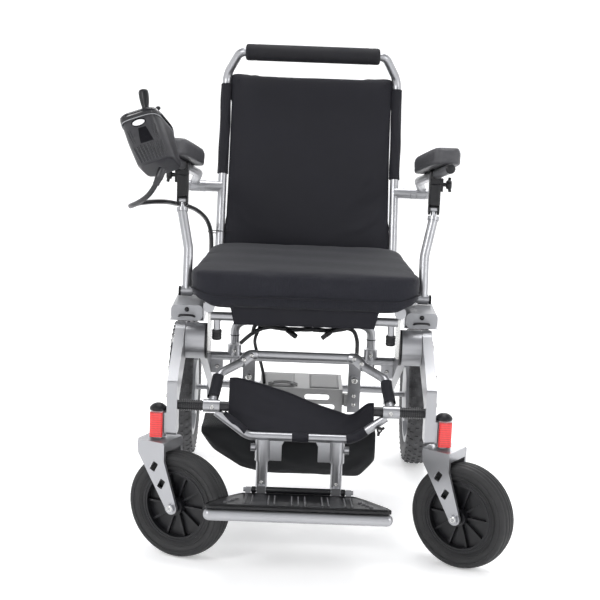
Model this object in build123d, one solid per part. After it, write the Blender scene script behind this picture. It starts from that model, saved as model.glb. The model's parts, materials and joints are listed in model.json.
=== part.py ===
from build123d import *
import math
import os

# Folding power wheelchair. Millimetres. X to the user's left, the chair faces -Y, +Z up.
# The origin is on the floor on the centre plane, 10 mm behind the casters' swivel axes.

# Driving dimensions
RUN = 0.05                                  # radial clearance of pins in their bores
STEM_X, STEM_Y = 265, -10                   # caster swivel axes
CASTER_R, CASTER_W, CASTER_TRAIL = 100, 45, 50
CASTER_YAW = {"left": 26, "right": 35}      # degrees each caster is turned from straight inboard or outboard
WHEEL_R, WHEEL_W, WHEEL_X = 159, 57, 266    # rear drive wheels
AXLE_Y, AXLE_Z = 604, 159
FOLD_Y, FOLD_Z = 145, 372                   # pivot between the front and the rear legs
DRUM_R = 35
SEAT_X, SEAT_Z, RAIL_R = 184, 445, 11
SEAT_FRONT, SEAT_REAR = 98, 485
CUSHION_TOP = 508
BACK_Y, BACK_Z = 504, 452                   # backrest pivot
BACK_X, BACK_R = 190, 9.5
BEND_Y, BEND_Z = 643, 871                   # where the back tubes turn towards the push handle
HANDLE_Y, HANDLE_Z, HANDLE_X, GRIP_X = 607, 922, 160, 148
ARM_LOW_Y, ARM_LOW_Z = 237, 452             # lower pivot of the armrest strut
LINK_Y, LINK_Z = 58.4, 176                  # from each lower pivot to its upper pivot
BAR_Y, BAR_Z = 0, 281                       # crossbars that carry the footrest
FOOT_X = 70
FOOT_HINGE_Y, FOOT_HINGE_Z, FOOT_SLOPE = -12, 125, 11
CORD_R = 4.75

ARM_TOP_Y, ARM_TOP_Z = BACK_Y + LINK_Y, BACK_Z + LINK_Z
LATCH_Y, LATCH_Z = ARM_LOW_Y + LINK_Y, ARM_LOW_Z + LINK_Z
SIDES = {"left": -1, "right": 1}            # sign of X for each end of the chair as seen from the front

os.makedirs("parts", exist_ok=True)


# Helpers

def rod(start, end, radius):
    """Solid cylinder between two points."""
    start, end = Vector(start), Vector(end)
    axis = end - start
    return Solid.make_cylinder(radius, axis.length, Plane(origin=start, z_dir=axis))


def cross_rod(x_low, x_high, y, z, radius):
    """Cylinder along X."""
    return rod((x_low, y, z), (x_high, y, z), radius)


def ring_x(x_low, x_high, y, z, radius, bore):
    """Ring round an axis along X."""
    return cross_rod(x_low, x_high, y, z, radius) - cross_rod(x_low - 1, x_high + 1, y, z, bore)


def block(low, high):
    """Box between two opposite corners."""
    size = [h - l for l, h in zip(low, high)]
    centre = [(h + l) / 2 for l, h in zip(low, high)]
    return Pos(*centre) * Box(*size)


def side_plate(outline, x_low, x_high, corner=0):
    """Plate with a (y, z) outline, from x_low to x_high, its corners rounded."""
    points = [Vector(x_low, y, z) for y, z in outline]
    wire = FilletPolyline(*points, radius=corner, close=True)
    return extrude(make_face(wire), amount=x_high - x_low, dir=(1, 0, 0))


def front_plate(outline, y_low, y_high, corner=0):
    """Plate with an (x, z) outline, from y_low to y_high, its corners rounded."""
    points = [Vector(x, y_low, z) for x, z in outline]
    wire = FilletPolyline(*points, radius=corner, close=True)
    return extrude(make_face(wire), amount=y_high - y_low, dir=(0, 1, 0))


def bent_rod(points, bends, radius):
    """Round bar along a filleted line."""
    path = FilletPolyline(*points, radius=bends)
    return sweep(Plane(origin=path @ 0, z_dir=path % 0) * Circle(radius), path=path)


def mirror_x(shape):
    """The same piece on the other side of the chair."""
    return shape.mirror(Plane.YZ)


def save(node, *pieces):
    """Write one node, a single solid or a group of separate ones."""
    solids = [solid for piece in pieces for solid in piece.solids()]
    shape = solids[0] if len(solids) == 1 else Compound(children=solids)
    export_step(shape, f"parts/{node}.step")


def save_pair(node, piece):
    """Write a piece and its mirror image as one node of two solids."""
    save(node, piece, mirror_x(piece))


# Front legs, with the caster housings

LEG_IN, LEG_OUT = 229.5, 248.5
HOUSING_LOW, HOUSING_TOP = 224, 274
STEM_R, BEARING_R = 6, 11


def front_leg():
    """Forged side leg from the fold pivot down to the caster housing."""
    eye = cross_rod(LEG_IN, LEG_OUT, FOLD_Y, FOLD_Z, DRUM_R + 1)
    blade = side_plate([(130.7, 404), (-24, 330), (-24, 228), (20, 228), (20, 290), (159.3, 340)],
                       LEG_IN, LEG_OUT, 7)
    housing = rod((STEM_X, STEM_Y, HOUSING_LOW), (STEM_X, STEM_Y, HOUSING_TOP), 15)
    neck = block((LEG_OUT - 2, STEM_Y - 9, 230), (STEM_X - 2, STEM_Y + 9, 270))
    leg = eye + blade + housing + neck
    leg -= rod((STEM_X, STEM_Y, 200), (STEM_X, STEM_Y, 300), BEARING_R)
    return leg - cross_rod(200, 300, FOLD_Y, FOLD_Z, 8 + RUN)


def stem_bearings():
    """Two ball bearings in one caster housing, drawn as plain rings."""
    rings = []
    for low in (HOUSING_LOW + 2, HOUSING_TOP - 10):
        outer = rod((STEM_X, STEM_Y, low), (STEM_X, STEM_Y, low + 7), BEARING_R - 0.02)
        rings.append(outer - rod((STEM_X, STEM_Y, low - 1), (STEM_X, STEM_Y, low + 8), STEM_R + RUN))
    return rings[0], rings[1]


def stem_dome():
    """Domed black cap on top of a caster housing."""
    ball = Pos(STEM_X, STEM_Y, HOUSING_TOP - 6) * Sphere(18.5)
    return ball & rod((STEM_X, STEM_Y, HOUSING_TOP), (STEM_X, STEM_Y, HOUSING_TOP + 13), 16)


def reflector():
    """Red reflector on the front of a caster housing, a little towards the outside."""
    body = block((STEM_X - 10, -32, 226), (STEM_X + 14, -22.5, 272))
    body = fillet(body.edges().filter_by(Axis.Z).group_by(Axis.Y)[0], 4)
    return body - rod((STEM_X, STEM_Y, 200), (STEM_X, STEM_Y, 300), 15.05)


save_pair("front_legs", front_leg())
UPPER, LOWER = stem_bearings()
save("stem_bearings", UPPER, LOWER, mirror_x(UPPER), mirror_x(LOWER))
save_pair("reflectors", reflector())


# Casters

CROWN_LOW, CROWN_TOP = 203, 221
ARM_GAP, ARM_OUT = 27, 33


def caster_frame(side):
    """Plane at the swivel axis: its X follows the trail, its Y is the wheel's axle, its Z is up."""
    angle = math.radians(CASTER_YAW[side])
    trail = Vector(math.cos(angle), -math.sin(angle), 0)
    return Plane(origin=(SIDES[side] * STEM_X, STEM_Y, 0), x_dir=trail, z_dir=(0, 0, 1))


def fork_arm(low, high):
    """One tapering arm of the fork, with two windows, between two places along the axle."""
    outline = [(-24, CROWN_TOP), (34, CROWN_TOP), (34, 186), (CASTER_TRAIL + 10, 108),
               (CASTER_TRAIL - 9, 94), (-22, 196)]
    points = [Vector(u, low, z) for u, z in outline]
    arm = extrude(make_face(FilletPolyline(*points, radius=5, close=True)), amount=high - low, dir=(0, 1, 0))
    arm += rod((CASTER_TRAIL, low, CASTER_R), (CASTER_TRAIL, high, CASTER_R), 12)
    for u, z in ((13, 174), (29, 143)):
        window = Pos(u, (low + high) / 2, z) * Rot(0, 27, 0) * Box(11, 20, 18)
        arm -= fillet(window.edges().filter_by(Axis.Y), 2)
    return arm - rod((CASTER_TRAIL, low - 1, CASTER_R), (CASTER_TRAIL, high + 1, CASTER_R), 5 + RUN)


def caster_fork():
    """Fork with its crown and stem, in the caster's own frame."""
    crown = fillet(block((-26, -ARM_OUT, CROWN_LOW), (34, ARM_OUT, CROWN_TOP)).edges().filter_by(Axis.Z), 8)
    stem = rod((0, 0, CROWN_TOP - 1), (0, 0, HOUSING_TOP - 1), STEM_R)
    stem += rod((0, 0, CROWN_TOP - 1), (0, 0, HOUSING_LOW - 0.5), 10)
    return crown + stem + fork_arm(ARM_GAP, ARM_OUT) + fork_arm(-ARM_OUT, -ARM_GAP)


def caster_axle():
    """Axle bolt with its head and nut."""
    bolt = rod((CASTER_TRAIL, -ARM_OUT, CASTER_R), (CASTER_TRAIL, ARM_OUT, CASTER_R), 5)
    head = rod((CASTER_TRAIL, -ARM_OUT - 5, CASTER_R), (CASTER_TRAIL, -ARM_OUT, CASTER_R), 8)
    nut = rod((CASTER_TRAIL, ARM_OUT, CASTER_R), (CASTER_TRAIL, ARM_OUT + 5, CASTER_R), 8)
    return bolt + head + nut


def wheel_ring(outer, inner, width, shoulder):
    """Ring round the local Y axis, its outer edges rounded."""
    half = width / 2
    ring = rod((0, -half, 0), (0, half, 0), outer)
    rims = [edge for edge in ring.edges().filter_by(GeomType.CIRCLE) if edge.radius > outer - 1]
    ring = fillet(rims, shoulder)
    return ring - rod((0, -half - 1, 0), (0, half + 1, 0), inner)


def caster_hub():
    """Moulded hub: a rim, a barrel, and a web with ten ribs on each face."""
    hub = rod((0, -18, 0), (0, 18, 0), 69.95) - rod((0, -19, 0), (0, 19, 0), 60)
    hub += rod((0, -5, 0), (0, 5, 0), 61)
    hub += rod((0, -22, 0), (0, 22, 0), 17)
    for index in range(10):
        rib = Pos(38, 0, 0) * Box(48, 24, 4)
        hub += Rot(0, 36 * index, 0) * rib
    return hub - rod((0, -23, 0), (0, 23, 0), 5 + RUN)


for side in SIDES:
    place = caster_frame(side).location
    centre = Pos(CASTER_TRAIL, 0, CASTER_R)
    save(f"caster_fork_{side}", place * caster_fork(), place * caster_axle())
    save(f"caster_tyre_{side}", place * centre * wheel_ring(CASTER_R, 70, CASTER_W, 16))
    save(f"caster_hub_{side}", place * centre * caster_hub())


# Rear frame: legs with the motor axles, cross frame, controller

LEG_BAR_IN, LEG_BAR_OUT = 191, 205


def along_leg(fraction, offset=0):
    """(y, z) of a place on the rear leg's line, offset square to it."""
    run, rise = AXLE_Y - FOLD_Y, AXLE_Z - FOLD_Z
    length = math.hypot(run, rise)
    return (FOLD_Y + run * fraction - rise / length * offset, FOLD_Z + rise * fraction + run / length * offset)


def rear_leg():
    """Rear leg: a barrel on the fold pivot, a flat bar, and the fixed axle of the hub motor."""
    barrel = cross_rod(LEG_BAR_IN, LEG_IN - 1, FOLD_Y, FOLD_Z, DRUM_R)
    outline = [along_leg(0, 20), along_leg(1, 18), along_leg(1, -18), along_leg(0, -20)]
    bar = side_plate(outline, LEG_BAR_IN, LEG_BAR_OUT, 1)
    bracket = cross_rod(LEG_BAR_IN, 214, AXLE_Y, AXLE_Z, 26)
    axle = cross_rod(LEG_BAR_IN, 299, AXLE_Y, AXLE_Z, 6)
    leg = barrel + bar + bracket + axle
    return leg - cross_rod(LEG_BAR_IN - 1, LEG_IN, FOLD_Y, FOLD_Z, 8 + RUN)


CROSS_Y, CROSS_Z = along_leg(0.4)
FRONT_BAR_Z, CROSS_BAR_R = CROSS_Z + 13, 9
COLLAR_X, COLLAR_Y, COLLAR_LOW, COLLAR_TOP = 142, 330, 303, 325


def rear_cross_frame():
    """The two cross members of the rear legs, with the posts, brackets and collars on the front one."""
    inside = LEG_BAR_IN - 0.1
    rear_y, rear_z = along_leg(0.9)
    frame = cross_rod(-inside, inside, CROSS_Y, FRONT_BAR_Z, CROSS_BAR_R)
    frame += cross_rod(-inside, inside, rear_y, rear_z, CROSS_BAR_R)
    half = rod((COLLAR_X, COLLAR_Y, CROSS_Z - 4), (COLLAR_X, COLLAR_Y, COLLAR_TOP), 9.5)
    half += rod((COLLAR_X, COLLAR_Y, COLLAR_LOW), (COLLAR_X, COLLAR_Y, COLLAR_TOP), 14)
    half += block((166, 334, 262), (inside, 350, 294))
    half += block((98, 333, 186), (124, 341, 292))
    half += rod((111, 326, 257), (111, 334, 257), 10)
    return frame + half + mirror_x(half)


CASE_X, CASE_FRONT, CASE_REAR, CASE_LOW, CASE_TOP = 88, 346, 480, 172, 231


def controller_case():
    """Folded sheet cover, open at the back and below, with two slots in its front."""
    outer = block((-CASE_X, CASE_FRONT, CASE_LOW), (CASE_X, CASE_REAR, CASE_TOP))
    inner = block((-CASE_X + 3, CASE_FRONT + 3, CASE_LOW - 1), (CASE_X - 3, CASE_REAR + 1, CASE_TOP - 3))
    case = outer - inner
    for x_low, x_high, z_low in ((8, 60, 207), (12, 72, 186)):
        slot = block((x_low, CASE_FRONT - 1, z_low), (x_high, CASE_FRONT + 4, z_low + 12))
        case -= fillet(slot.edges().filter_by(Axis.Y), 5.5)
    ears = block((-98.1, CASE_FRONT + 4, 196), (-CASE_X, CASE_FRONT + 10, 222))
    ears += block((-110, 341.1, 196), (-92, CASE_FRONT + 10, 222))
    return case + ears + mirror_x(ears)


def controller_module():
    """Sealed electronics box under the left of the cover."""
    return block((-CASE_X + 3.2, CASE_FRONT + 8, 177), (-4, CASE_REAR - 6, CASE_TOP - 3.2))


save_pair("rear_legs", rear_leg())
save("rear_cross_frame", rear_cross_frame())
save("controller_case", controller_case())
save("controller_module", controller_module())


# Drive wheels

def drive_hub():
    """Hub motor drum, five pairs of spokes and the rim, round the local Y axis."""
    hub = rod((0, -27, 0), (0, 27, 0), 62)
    hub += rod((0, -23, 0), (0, 23, 0), 109.9) - rod((0, -24, 0), (0, 24, 0), 97)
    for index in range(10):
        spoke = Pos(79, 0, 0) * Box(42, 22, 13)
        hub += Rot(0, 36 * index, 0) * spoke
    return hub - rod((0, -28, 0), (0, 28, 0), 6 + RUN)


for side, sign in SIDES.items():
    axis = Plane(origin=(sign * WHEEL_X, AXLE_Y, AXLE_Z), x_dir=(0, 1, 0), z_dir=(0, 0, 1)).location
    save(f"rear_tyre_{side}", axis * wheel_ring(WHEEL_R, 110, WHEEL_W, 20))
    save(f"rear_hub_{side}", axis * drive_hub())


# Seat frame

STUB_R, STUB_END = 7.5, 248.5
CLEVIS_IN, CLEVIS_OUT = BACK_X - BACK_R - 0.5, BACK_X + BACK_R + 0.5


def seat_rail():
    """Seat rail with the backrest's clevis at its rear and the armrest strut's pivot stub on its side."""
    rail = rod((SEAT_X, 115, SEAT_Z), (SEAT_X, 476, SEAT_Z), RAIL_R)
    base = block((CLEVIS_IN - 4, 466, 436), (196, 491, 449))
    base += block((190, 480, 436), (CLEVIS_OUT + 4, 491, 449))
    cheeks = block((CLEVIS_IN - 4, 488, 436), (CLEVIS_IN, 516, 464))
    cheeks += block((CLEVIS_OUT, 488, 436), (CLEVIS_OUT + 4, 516, 464))
    bolt = cross_rod(CLEVIS_IN - 6, CLEVIS_OUT + 6, BACK_Y, BACK_Z, 5)
    stub = cross_rod(SEAT_X, STUB_END, ARM_LOW_Y, ARM_LOW_Z, STUB_R)
    return rail + base + cheeks + bolt + stub


def seat_cross_tube(y, half):
    """Tube between the seat rails."""
    tube = cross_rod(-half, half, y, 426, 8.5)
    for sign in SIDES.values():
        tube -= rod((sign * SEAT_X, 90, SEAT_Z), (sign * SEAT_X, 500, SEAT_Z), RAIL_R + 0.02)
    return tube


def seat_link():
    """Plate under the seat rail, welded to the fold pin that carries both legs."""
    outline = [(118, 436), (172, 436), (165, 352), (125, 352)]
    plate = side_plate(outline, 180.5, 186, 6)
    plate -= rod((SEAT_X, 90, SEAT_Z), (SEAT_X, 200, SEAT_Z), RAIL_R + 0.02)
    pin = cross_rod(180.5, 252, FOLD_Y, FOLD_Z, 8)
    return plate + pin + cross_rod(LEG_OUT + 0.2, 253, FOLD_Y, FOLD_Z, 14)


def pivot_caps():
    """Black plastic caps: caster dome, fold drum disc, and the end of the strut stub."""
    disc = ring_x(186.6, 190.6, FOLD_Y, FOLD_Z, DRUM_R, 8.2)
    stub = cross_rod(STUB_END + 0.02, 253, ARM_LOW_Y, ARM_LOW_Z, 9.5)
    return stem_dome(), disc, stub


def bumper():
    """Short stub under the seat's front tube, with a rubber foot."""
    tube = rod((168, 124, 400), (168, 124, 420), 6.5)
    foot = rod((168, 124, 380), (168, 124, 399.98), 9.5)
    return tube - cross_rod(100, SEAT_X, 124, 426, 8.52), foot


HOOP_TOP, HOOP_R = 382, 9


def seat_hoop():
    """Hooped stay under the seat whose ends stand over the collars on the rear frame."""
    low = COLLAR_TOP + 2
    points = [(-COLLAR_X, COLLAR_Y, low), (-COLLAR_X, COLLAR_Y, HOOP_TOP - 12), (-96, COLLAR_Y, HOOP_TOP),
              (96, COLLAR_Y, HOOP_TOP), (COLLAR_X, COLLAR_Y, HOOP_TOP - 12), (COLLAR_X, COLLAR_Y, low)]
    hoop = bent_rod(points, [22, 60, 60, 22], HOOP_R)
    for x in (-60, 60):
        hoop += rod((x, COLLAR_Y, HOOP_TOP + 2), (x, COLLAR_Y, 424), 6)
    return hoop - cross_rod(-SEAT_X, SEAT_X, COLLAR_Y, 426, 8.52)


TRAY_LOW, BATTERY_LOW, BATTERY_TOP = 408.8, 410.8, 440.4
BATTERY_IN, BATTERY_OUT, BATTERY_FRONT, BATTERY_REAR = 198, 260, 150, 478


def battery_tray():
    """Sheet tray hung from the seat rail; the battery slides out of its open front."""
    tray = block((195.6, BATTERY_FRONT + 4, TRAY_LOW), (BATTERY_OUT + 2, BATTERY_REAR, TRAY_LOW + 1.6))
    tray += block((195.6, BATTERY_FRONT + 4, TRAY_LOW), (197.2, BATTERY_REAR, 445))
    tray -= rod((SEAT_X, 90, SEAT_Z), (SEAT_X, 500, SEAT_Z), RAIL_R + 0.02)
    tray -= block((190, 461, 430), (210, 500, 460))
    return tray - cross_rod(190, 210, ARM_LOW_Y, ARM_LOW_Z, 8.5)


def battery(sign):
    """Flat battery stick with rounded long edges."""
    body = block((BATTERY_IN, BATTERY_FRONT, BATTERY_LOW), (BATTERY_OUT, BATTERY_REAR, BATTERY_TOP))
    body = fillet(body.edges().filter_by(Axis.Y), 9)
    return body if sign > 0 else mirror_x(body)


save_pair("seat_rails", seat_rail())
save("seat_cross_tubes", seat_cross_tube(124, 180.4), seat_cross_tube(COLLAR_Y, SEAT_X))
save_pair("seat_links", seat_link())
DOME, DISC, STUB_CAP = pivot_caps()
save("pivot_caps", DOME, DISC, STUB_CAP, mirror_x(DOME), mirror_x(DISC), mirror_x(STUB_CAP))
BUMPER_TUBE, BUMPER_FOOT = bumper()
save("seat_bumpers", BUMPER_TUBE, BUMPER_FOOT, mirror_x(BUMPER_TUBE), mirror_x(BUMPER_FOOT))
save("seat_hoop", seat_hoop())
save_pair("battery_trays", battery_tray())
for side, sign in SIDES.items():
    save(f"battery_{side}", battery(sign))


# Seat cushion and sling, as plain bodies of the cloth parts

def seat_sling():
    """Cloth over the seat rails, falling over the front cross tube."""
    sling = block((-SEAT_X, 110, SEAT_Z + RAIL_R + 0.2), (SEAT_X, 462, SEAT_Z + RAIL_R + 4.8))
    return sling + block((-135, 110, 412), (135, 114, SEAT_Z + RAIL_R + 4.8))


def seat_cushion():
    """Cushion, narrower at the rear, with a front edge that drops in front of the seat."""
    low, rear_x, front_x = 461.5, 178, 216
    plan = [(-front_x, SEAT_FRONT), (front_x, SEAT_FRONT), (rear_x, SEAT_REAR), (-rear_x, SEAT_REAR)]
    wire = FilletPolyline(*[Vector(x, y, low) for x, y in plan], radius=24, close=True)
    pad = extrude(make_face(wire), amount=CUSHION_TOP - low, dir=(0, 0, 1))
    pad = fillet(pad.faces().sort_by(Axis.Z)[-1].edges(), 12)
    drop = block((-196, SEAT_FRONT + 0.5, 447), (196, 109.5, low + 8))
    return pad + fillet(drop.edges().filter_by(Axis.Y).group_by(Axis.Z)[0], 8)


save("seat_sling", seat_sling())
save("seat_cushion", seat_cushion())


# Front cross tube, leg sling, bag and footrest carrier

SLEEVE_IN, SLEEVE_OUT, SLEEVE_R, BAR_R = 152, 182.7, 12, 9


def front_crossbar():
    """Black bar from the front leg inwards, ribbed where it shows."""
    bar = cross_rod(135, LEG_IN - 0.1, BAR_Y, BAR_Z, BAR_R)
    for index in range(10):
        x = SLEEVE_OUT + 3 + 4 * index
        bar += cross_rod(x, x + 2, BAR_Y, BAR_Z, BAR_R + 1.5)
    return bar


def front_cross_tube():
    """Sleeves on the crossbars, inclined tubes, forged ears and the tube between them."""
    points = [(-166, 4, 287), (-157, 58, 329), (-118, 105, 341), (-98, 130, 351),
              (98, 130, 351), (118, 105, 341), (157, 58, 329), (166, 4, 287)]
    tube = bent_rod(points, [26, 22, 14, 14, 22, 26], 8.5)
    for sign in SIDES.values():
        low, high = sorted((sign * SLEEVE_IN, sign * SLEEVE_OUT))
        tube += cross_rod(low, high, BAR_Y, BAR_Z, SLEEVE_R)
        tube -= cross_rod(low - 9, high + 9, BAR_Y, BAR_Z, BAR_R + 0.02)
    return tube


def leg_sling():
    """Cloth panel that sags between the inclined tubes, and its two sleeves round them."""
    plane = Plane(origin=(0, 10, 232), x_dir=(1, 0, 0), z_dir=(0, -0.875, 0.485))
    outline = [(-138, 20), (-100, 0), (100, 0), (138, 12), (136, 66), (122, 64), (94, 36), (60, 49),
               (-22, 78), (-130, 104), (-138, 100)]
    panel = extrude(plane * make_face(Polyline(*outline, close=True)), amount=2.5, both=True)
    sleeve = rod((165.2, 14, 295), (158.6, 50, 323.4), 12) - rod((166, 8, 290.4), (157.8, 54, 326.3), 9.6)
    return panel, sleeve, mirror_x(sleeve)


def storage_bag():
    """Soft bag under the seat."""
    outline = [(-188, 222), (-164, 183), (-110, 147), (-61, 137), (86, 132), (112, 136), (143, 172),
               (143, 222)]
    bag = front_plate(outline, 50, 185, 6)
    return fillet(bag.faces().sort_by(Axis.Y)[0].edges(), 5)


def footrest_carrier():
    """Bent bar between the crossbar sleeves, with a T bracket and a clamp sleeve for each hanger."""
    points = [(-158, BAR_Y, 270), (-98, BAR_Y, 226), (98, BAR_Y, 226), (158, BAR_Y, 270)]
    carrier = bent_rod(points, [30, 30], 8)
    carrier -= cross_rod(-200, 200, BAR_Y, BAR_Z, SLEEVE_R + 0.02)
    for sign in SIDES.values():
        outline = [(sign * 28, 222), (sign * 62, 222), (sign * 57, 210), (sign * 57, 180), (sign * 34, 180),
                   (sign * 34, 210)]
        carrier += front_plate(outline, -3, 3, 1)
        centre = sign * FOOT_X
        carrier += rod((centre, 0, 180), (centre, 0, 222), 14)
        carrier -= rod((centre, 0, 170), (centre, 0, 216.5), 11.3)
        low, high = sorted((sign * (FOOT_X + 13), sign * (FOOT_X + 22)))
        knob = cross_rod(low, high, 0, 204, 7)
        carrier += knob - rod((centre, 0, 170), (centre, 0, 216.5), 11.3)
    return carrier


save_pair("front_crossbars", front_crossbar())
save("front_cross_tube", front_cross_tube())
save("leg_sling", *leg_sling())
save("storage_bag", storage_bag())
save("footrest_carrier", footrest_carrier())


# Footrest

def footrest_hanger():
    """Hanger tube that slides in the carrier, with the footplate's hinge lug at its foot."""
    tube = rod((FOOT_X, 0, 112), (FOOT_X, 0, 216), 11)
    tube += block((FOOT_X - 8, FOOT_HINGE_Y - 5.5, 120), (FOOT_X + 8, 0, 134))
    return tube - cross_rod(FOOT_X - 20, FOOT_X + 20, FOOT_HINGE_Y, FOOT_HINGE_Z, 4 + RUN)


DECK_REAR_X, DECK_FRONT_X, DECK_DEPTH = 110, 158, 162
DECK_LOW, DECK_TOP = -14, -7


def foot_frame_plane():
    """Plane at the footplate's hinge: X across, Y forward along the slope."""
    slope = math.radians(FOOT_SLOPE)
    up = Vector(0, math.sin(slope), math.cos(slope))
    return Plane(origin=(0, FOOT_HINGE_Y, FOOT_HINGE_Z), x_dir=(-1, 0, 0), z_dir=up)


def footplate():
    """Plastic deck, wider at the front, with rows of raised grip ribs."""
    plan = [(-DECK_REAR_X, 2), (DECK_REAR_X, 2), (DECK_FRONT_X, DECK_DEPTH), (-DECK_FRONT_X, DECK_DEPTH)]
    wire = FilletPolyline(*[Vector(x, y, DECK_LOW) for x, y in plan], radius=8, close=True)
    deck = extrude(make_face(wire), amount=DECK_TOP - DECK_LOW, dir=(0, 0, 1))
    for column in (-78, -26, 26, 78):
        for row in range(5):
            deck += Pos(column, 34 + 26 * row, DECK_TOP) * Box(30, 4, 2)
    for sign in SIDES.values():
        deck -= block((sign * 94 - 5.3, -6, -30), (sign * 94 + 5.3, 7, 10))
    return deck


def footplate_frame():
    """Tube under the deck's front edge, two arms, and the hinge rod."""
    tube = rod((-DECK_FRONT_X, 152, -25.1), (DECK_FRONT_X, 152, -25.1), 11)
    for sign in SIDES.values():
        tube += block((sign * 94 - 5, 4, -24), (sign * 94 + 5, 150, DECK_LOW - 0.05))
        tube += block((sign * 94 - 5, -6, -24), (sign * 94 + 5, 6, 5))
    tube += rod((-103, 0, 0), (103, 0, 0), 4)
    return tube


save_pair("footrest_hangers", footrest_hanger())
FOOT = foot_frame_plane().location
save("footplate", FOOT * footplate())
save("footplate_frame", FOOT * footplate_frame())


# Backrest

def back_point(height):
    """(y, z) on the back tubes' centre line at a height above the floor."""
    return BACK_Y + (height - BACK_Z) * (BEND_Y - BACK_Y) / (BEND_Z - BACK_Z), height


def back_frame():
    """Bent tube from one seat pivot up, across as the push handle, and down to the other."""
    foot_y, foot_z = back_point(BACK_Z + 7)
    points = [(-BACK_X, foot_y, foot_z), (-BACK_X, BEND_Y, BEND_Z), (-HANDLE_X, HANDLE_Y, HANDLE_Z),
              (HANDLE_X, HANDLE_Y, HANDLE_Z), (BACK_X, BEND_Y, BEND_Z), (BACK_X, foot_y, foot_z)]
    frame = bent_rod(points, [34, 20, 20, 34], BACK_R)
    for sign in SIDES.values():
        for reach, radius in ((262, 8), (226, 12)):
            frame += cross_rod(*sorted((sign * BACK_X, sign * reach)), ARM_TOP_Y, ARM_TOP_Z, radius)
        frame += cross_rod(*sorted((sign * 260, sign * 265)), ARM_TOP_Y, ARM_TOP_Z, 11.5)
        frame += cross_rod(*sorted((sign * 182, sign * 198)), BACK_Y, BACK_Z, 10.5)
        frame -= cross_rod(*sorted((sign * 175, sign * 205)), BACK_Y, BACK_Z, 5 + RUN)
    return frame


def push_grip():
    """Foam sleeve on the push handle."""
    grip = cross_rod(-GRIP_X, GRIP_X, HANDLE_Y, HANDLE_Z, 19)
    grip -= cross_rod(-GRIP_X - 1, GRIP_X + 1, HANDLE_Y, HANDLE_Z, BACK_R + 0.02)
    return fillet(grip.edges().filter_by(GeomType.CIRCLE).filter_by(lambda edge: edge.radius > 15), 6)


def back_plane():
    """Plane on the back tubes: X across, Y up along them, Z towards the sitter."""
    along = Vector(0, BEND_Y - BACK_Y, BEND_Z - BACK_Z)
    return Plane(origin=(0, BACK_Y, BACK_Z), x_dir=(1, 0, 0), z_dir=Vector(1, 0, 0).cross(along))


def back_cover():
    """Padded cloth back between the tubes, from just above the seat to the bends."""
    panel = block((-177, 62, -6), (177, 438, 16))
    return fillet(panel.edges().filter_by(Axis.Z), 12)


def back_sleeves():
    """Cloth sleeves round the upper part of the back tubes."""
    low_y, low_z = back_point(655)
    top_y, top_z = back_point(850)
    outer = rod((BACK_X, low_y, low_z), (BACK_X, top_y, top_z), 12.8)
    low_y, low_z = back_point(640)
    top_y, top_z = back_point(869)
    return outer - rod((BACK_X, low_y, low_z), (BACK_X, top_y, top_z), BACK_R + 0.1)


save("back_frame", back_frame())
save("push_grip", push_grip())
save("back_cover", back_plane().location * back_cover())
save_pair("back_sleeves", back_sleeves())


# Armrests: struts, latches, stop collars, tubes and pads

NECK, COLLAR = 24, 16


def toward_lower(distance):
    """(y, z) on the strut's line, a distance below the latch pivot."""
    length = math.hypot(LINK_Y, LINK_Z)
    return LATCH_Y - LINK_Y / length * distance, LATCH_Z - LINK_Z / length * distance


def arm_strut():
    """Strut from the seat's stub up to the latch: an eye, a bent tube, a collar, a thin neck, a small eye."""
    bend_y, bend_z = toward_lower(99)
    end_y, end_z = toward_lower(NECK)
    strut = bent_rod([(236.7, ARM_LOW_Y, ARM_LOW_Z), (237.5, bend_y, bend_z), (253.4, end_y, end_z)], [90], 9.5)
    strut += cross_rod(226.3, 247, ARM_LOW_Y, ARM_LOW_Z, 10)
    strut -= cross_rod(220, 260, ARM_LOW_Y, ARM_LOW_Z, STUB_R + RUN)
    collar_y, collar_z = toward_lower(COLLAR)
    strut += rod((253.4, end_y, end_z), (254, collar_y, collar_z), 11.5)
    strut += rod((254, collar_y, collar_z), (254, LATCH_Y, LATCH_Z), 5.5)
    strut += cross_rod(247.5, 260.5, LATCH_Y, LATCH_Z, 8)
    return strut - cross_rod(240, 270, LATCH_Y, LATCH_Z, 3.5 + RUN)


TUBE_REAR = Vector(238, 498, 662)
TUBE_FRONT = Vector(268, 150, 723.6)
ARM_R = 9.5


def arm_core(tip):
    """The arm tube's bent bar, from its pivot ring to a given front end."""
    return bent_rod([(250.5, ARM_TOP_Y - 2, ARM_TOP_Z + 10), TUBE_REAR, tip], [70], ARM_R)


def arm_tube(tip):
    """Bent armrest tube with its ring on the upper pivot."""
    ring = cross_rod(240.4, 259, ARM_TOP_Y, ARM_TOP_Z, 12.5)
    return arm_core(tip) + ring - cross_rod(230, 270, ARM_TOP_Y, ARM_TOP_Z, 8 + RUN)


def arm_pad():
    """Armrest pad on top of the tube."""
    along = TUBE_FRONT - TUBE_REAR
    across = along.cross(Vector(0, 0, 1)).normalized()
    up = across.cross(along).normalized()
    middle = TUBE_REAR + along * 0.58
    plane = Plane(origin=middle + up * (ARM_R + 0.3), x_dir=along, z_dir=up)
    pad = Pos(0, 0, 17) * Box(268, 58, 34)
    pad = fillet(pad.edges().filter_by(Axis.Z), 18)
    pad = fillet(pad.faces().sort_by(Axis.Z)[-1].edges(), 9)
    return plane.location * pad


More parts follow.
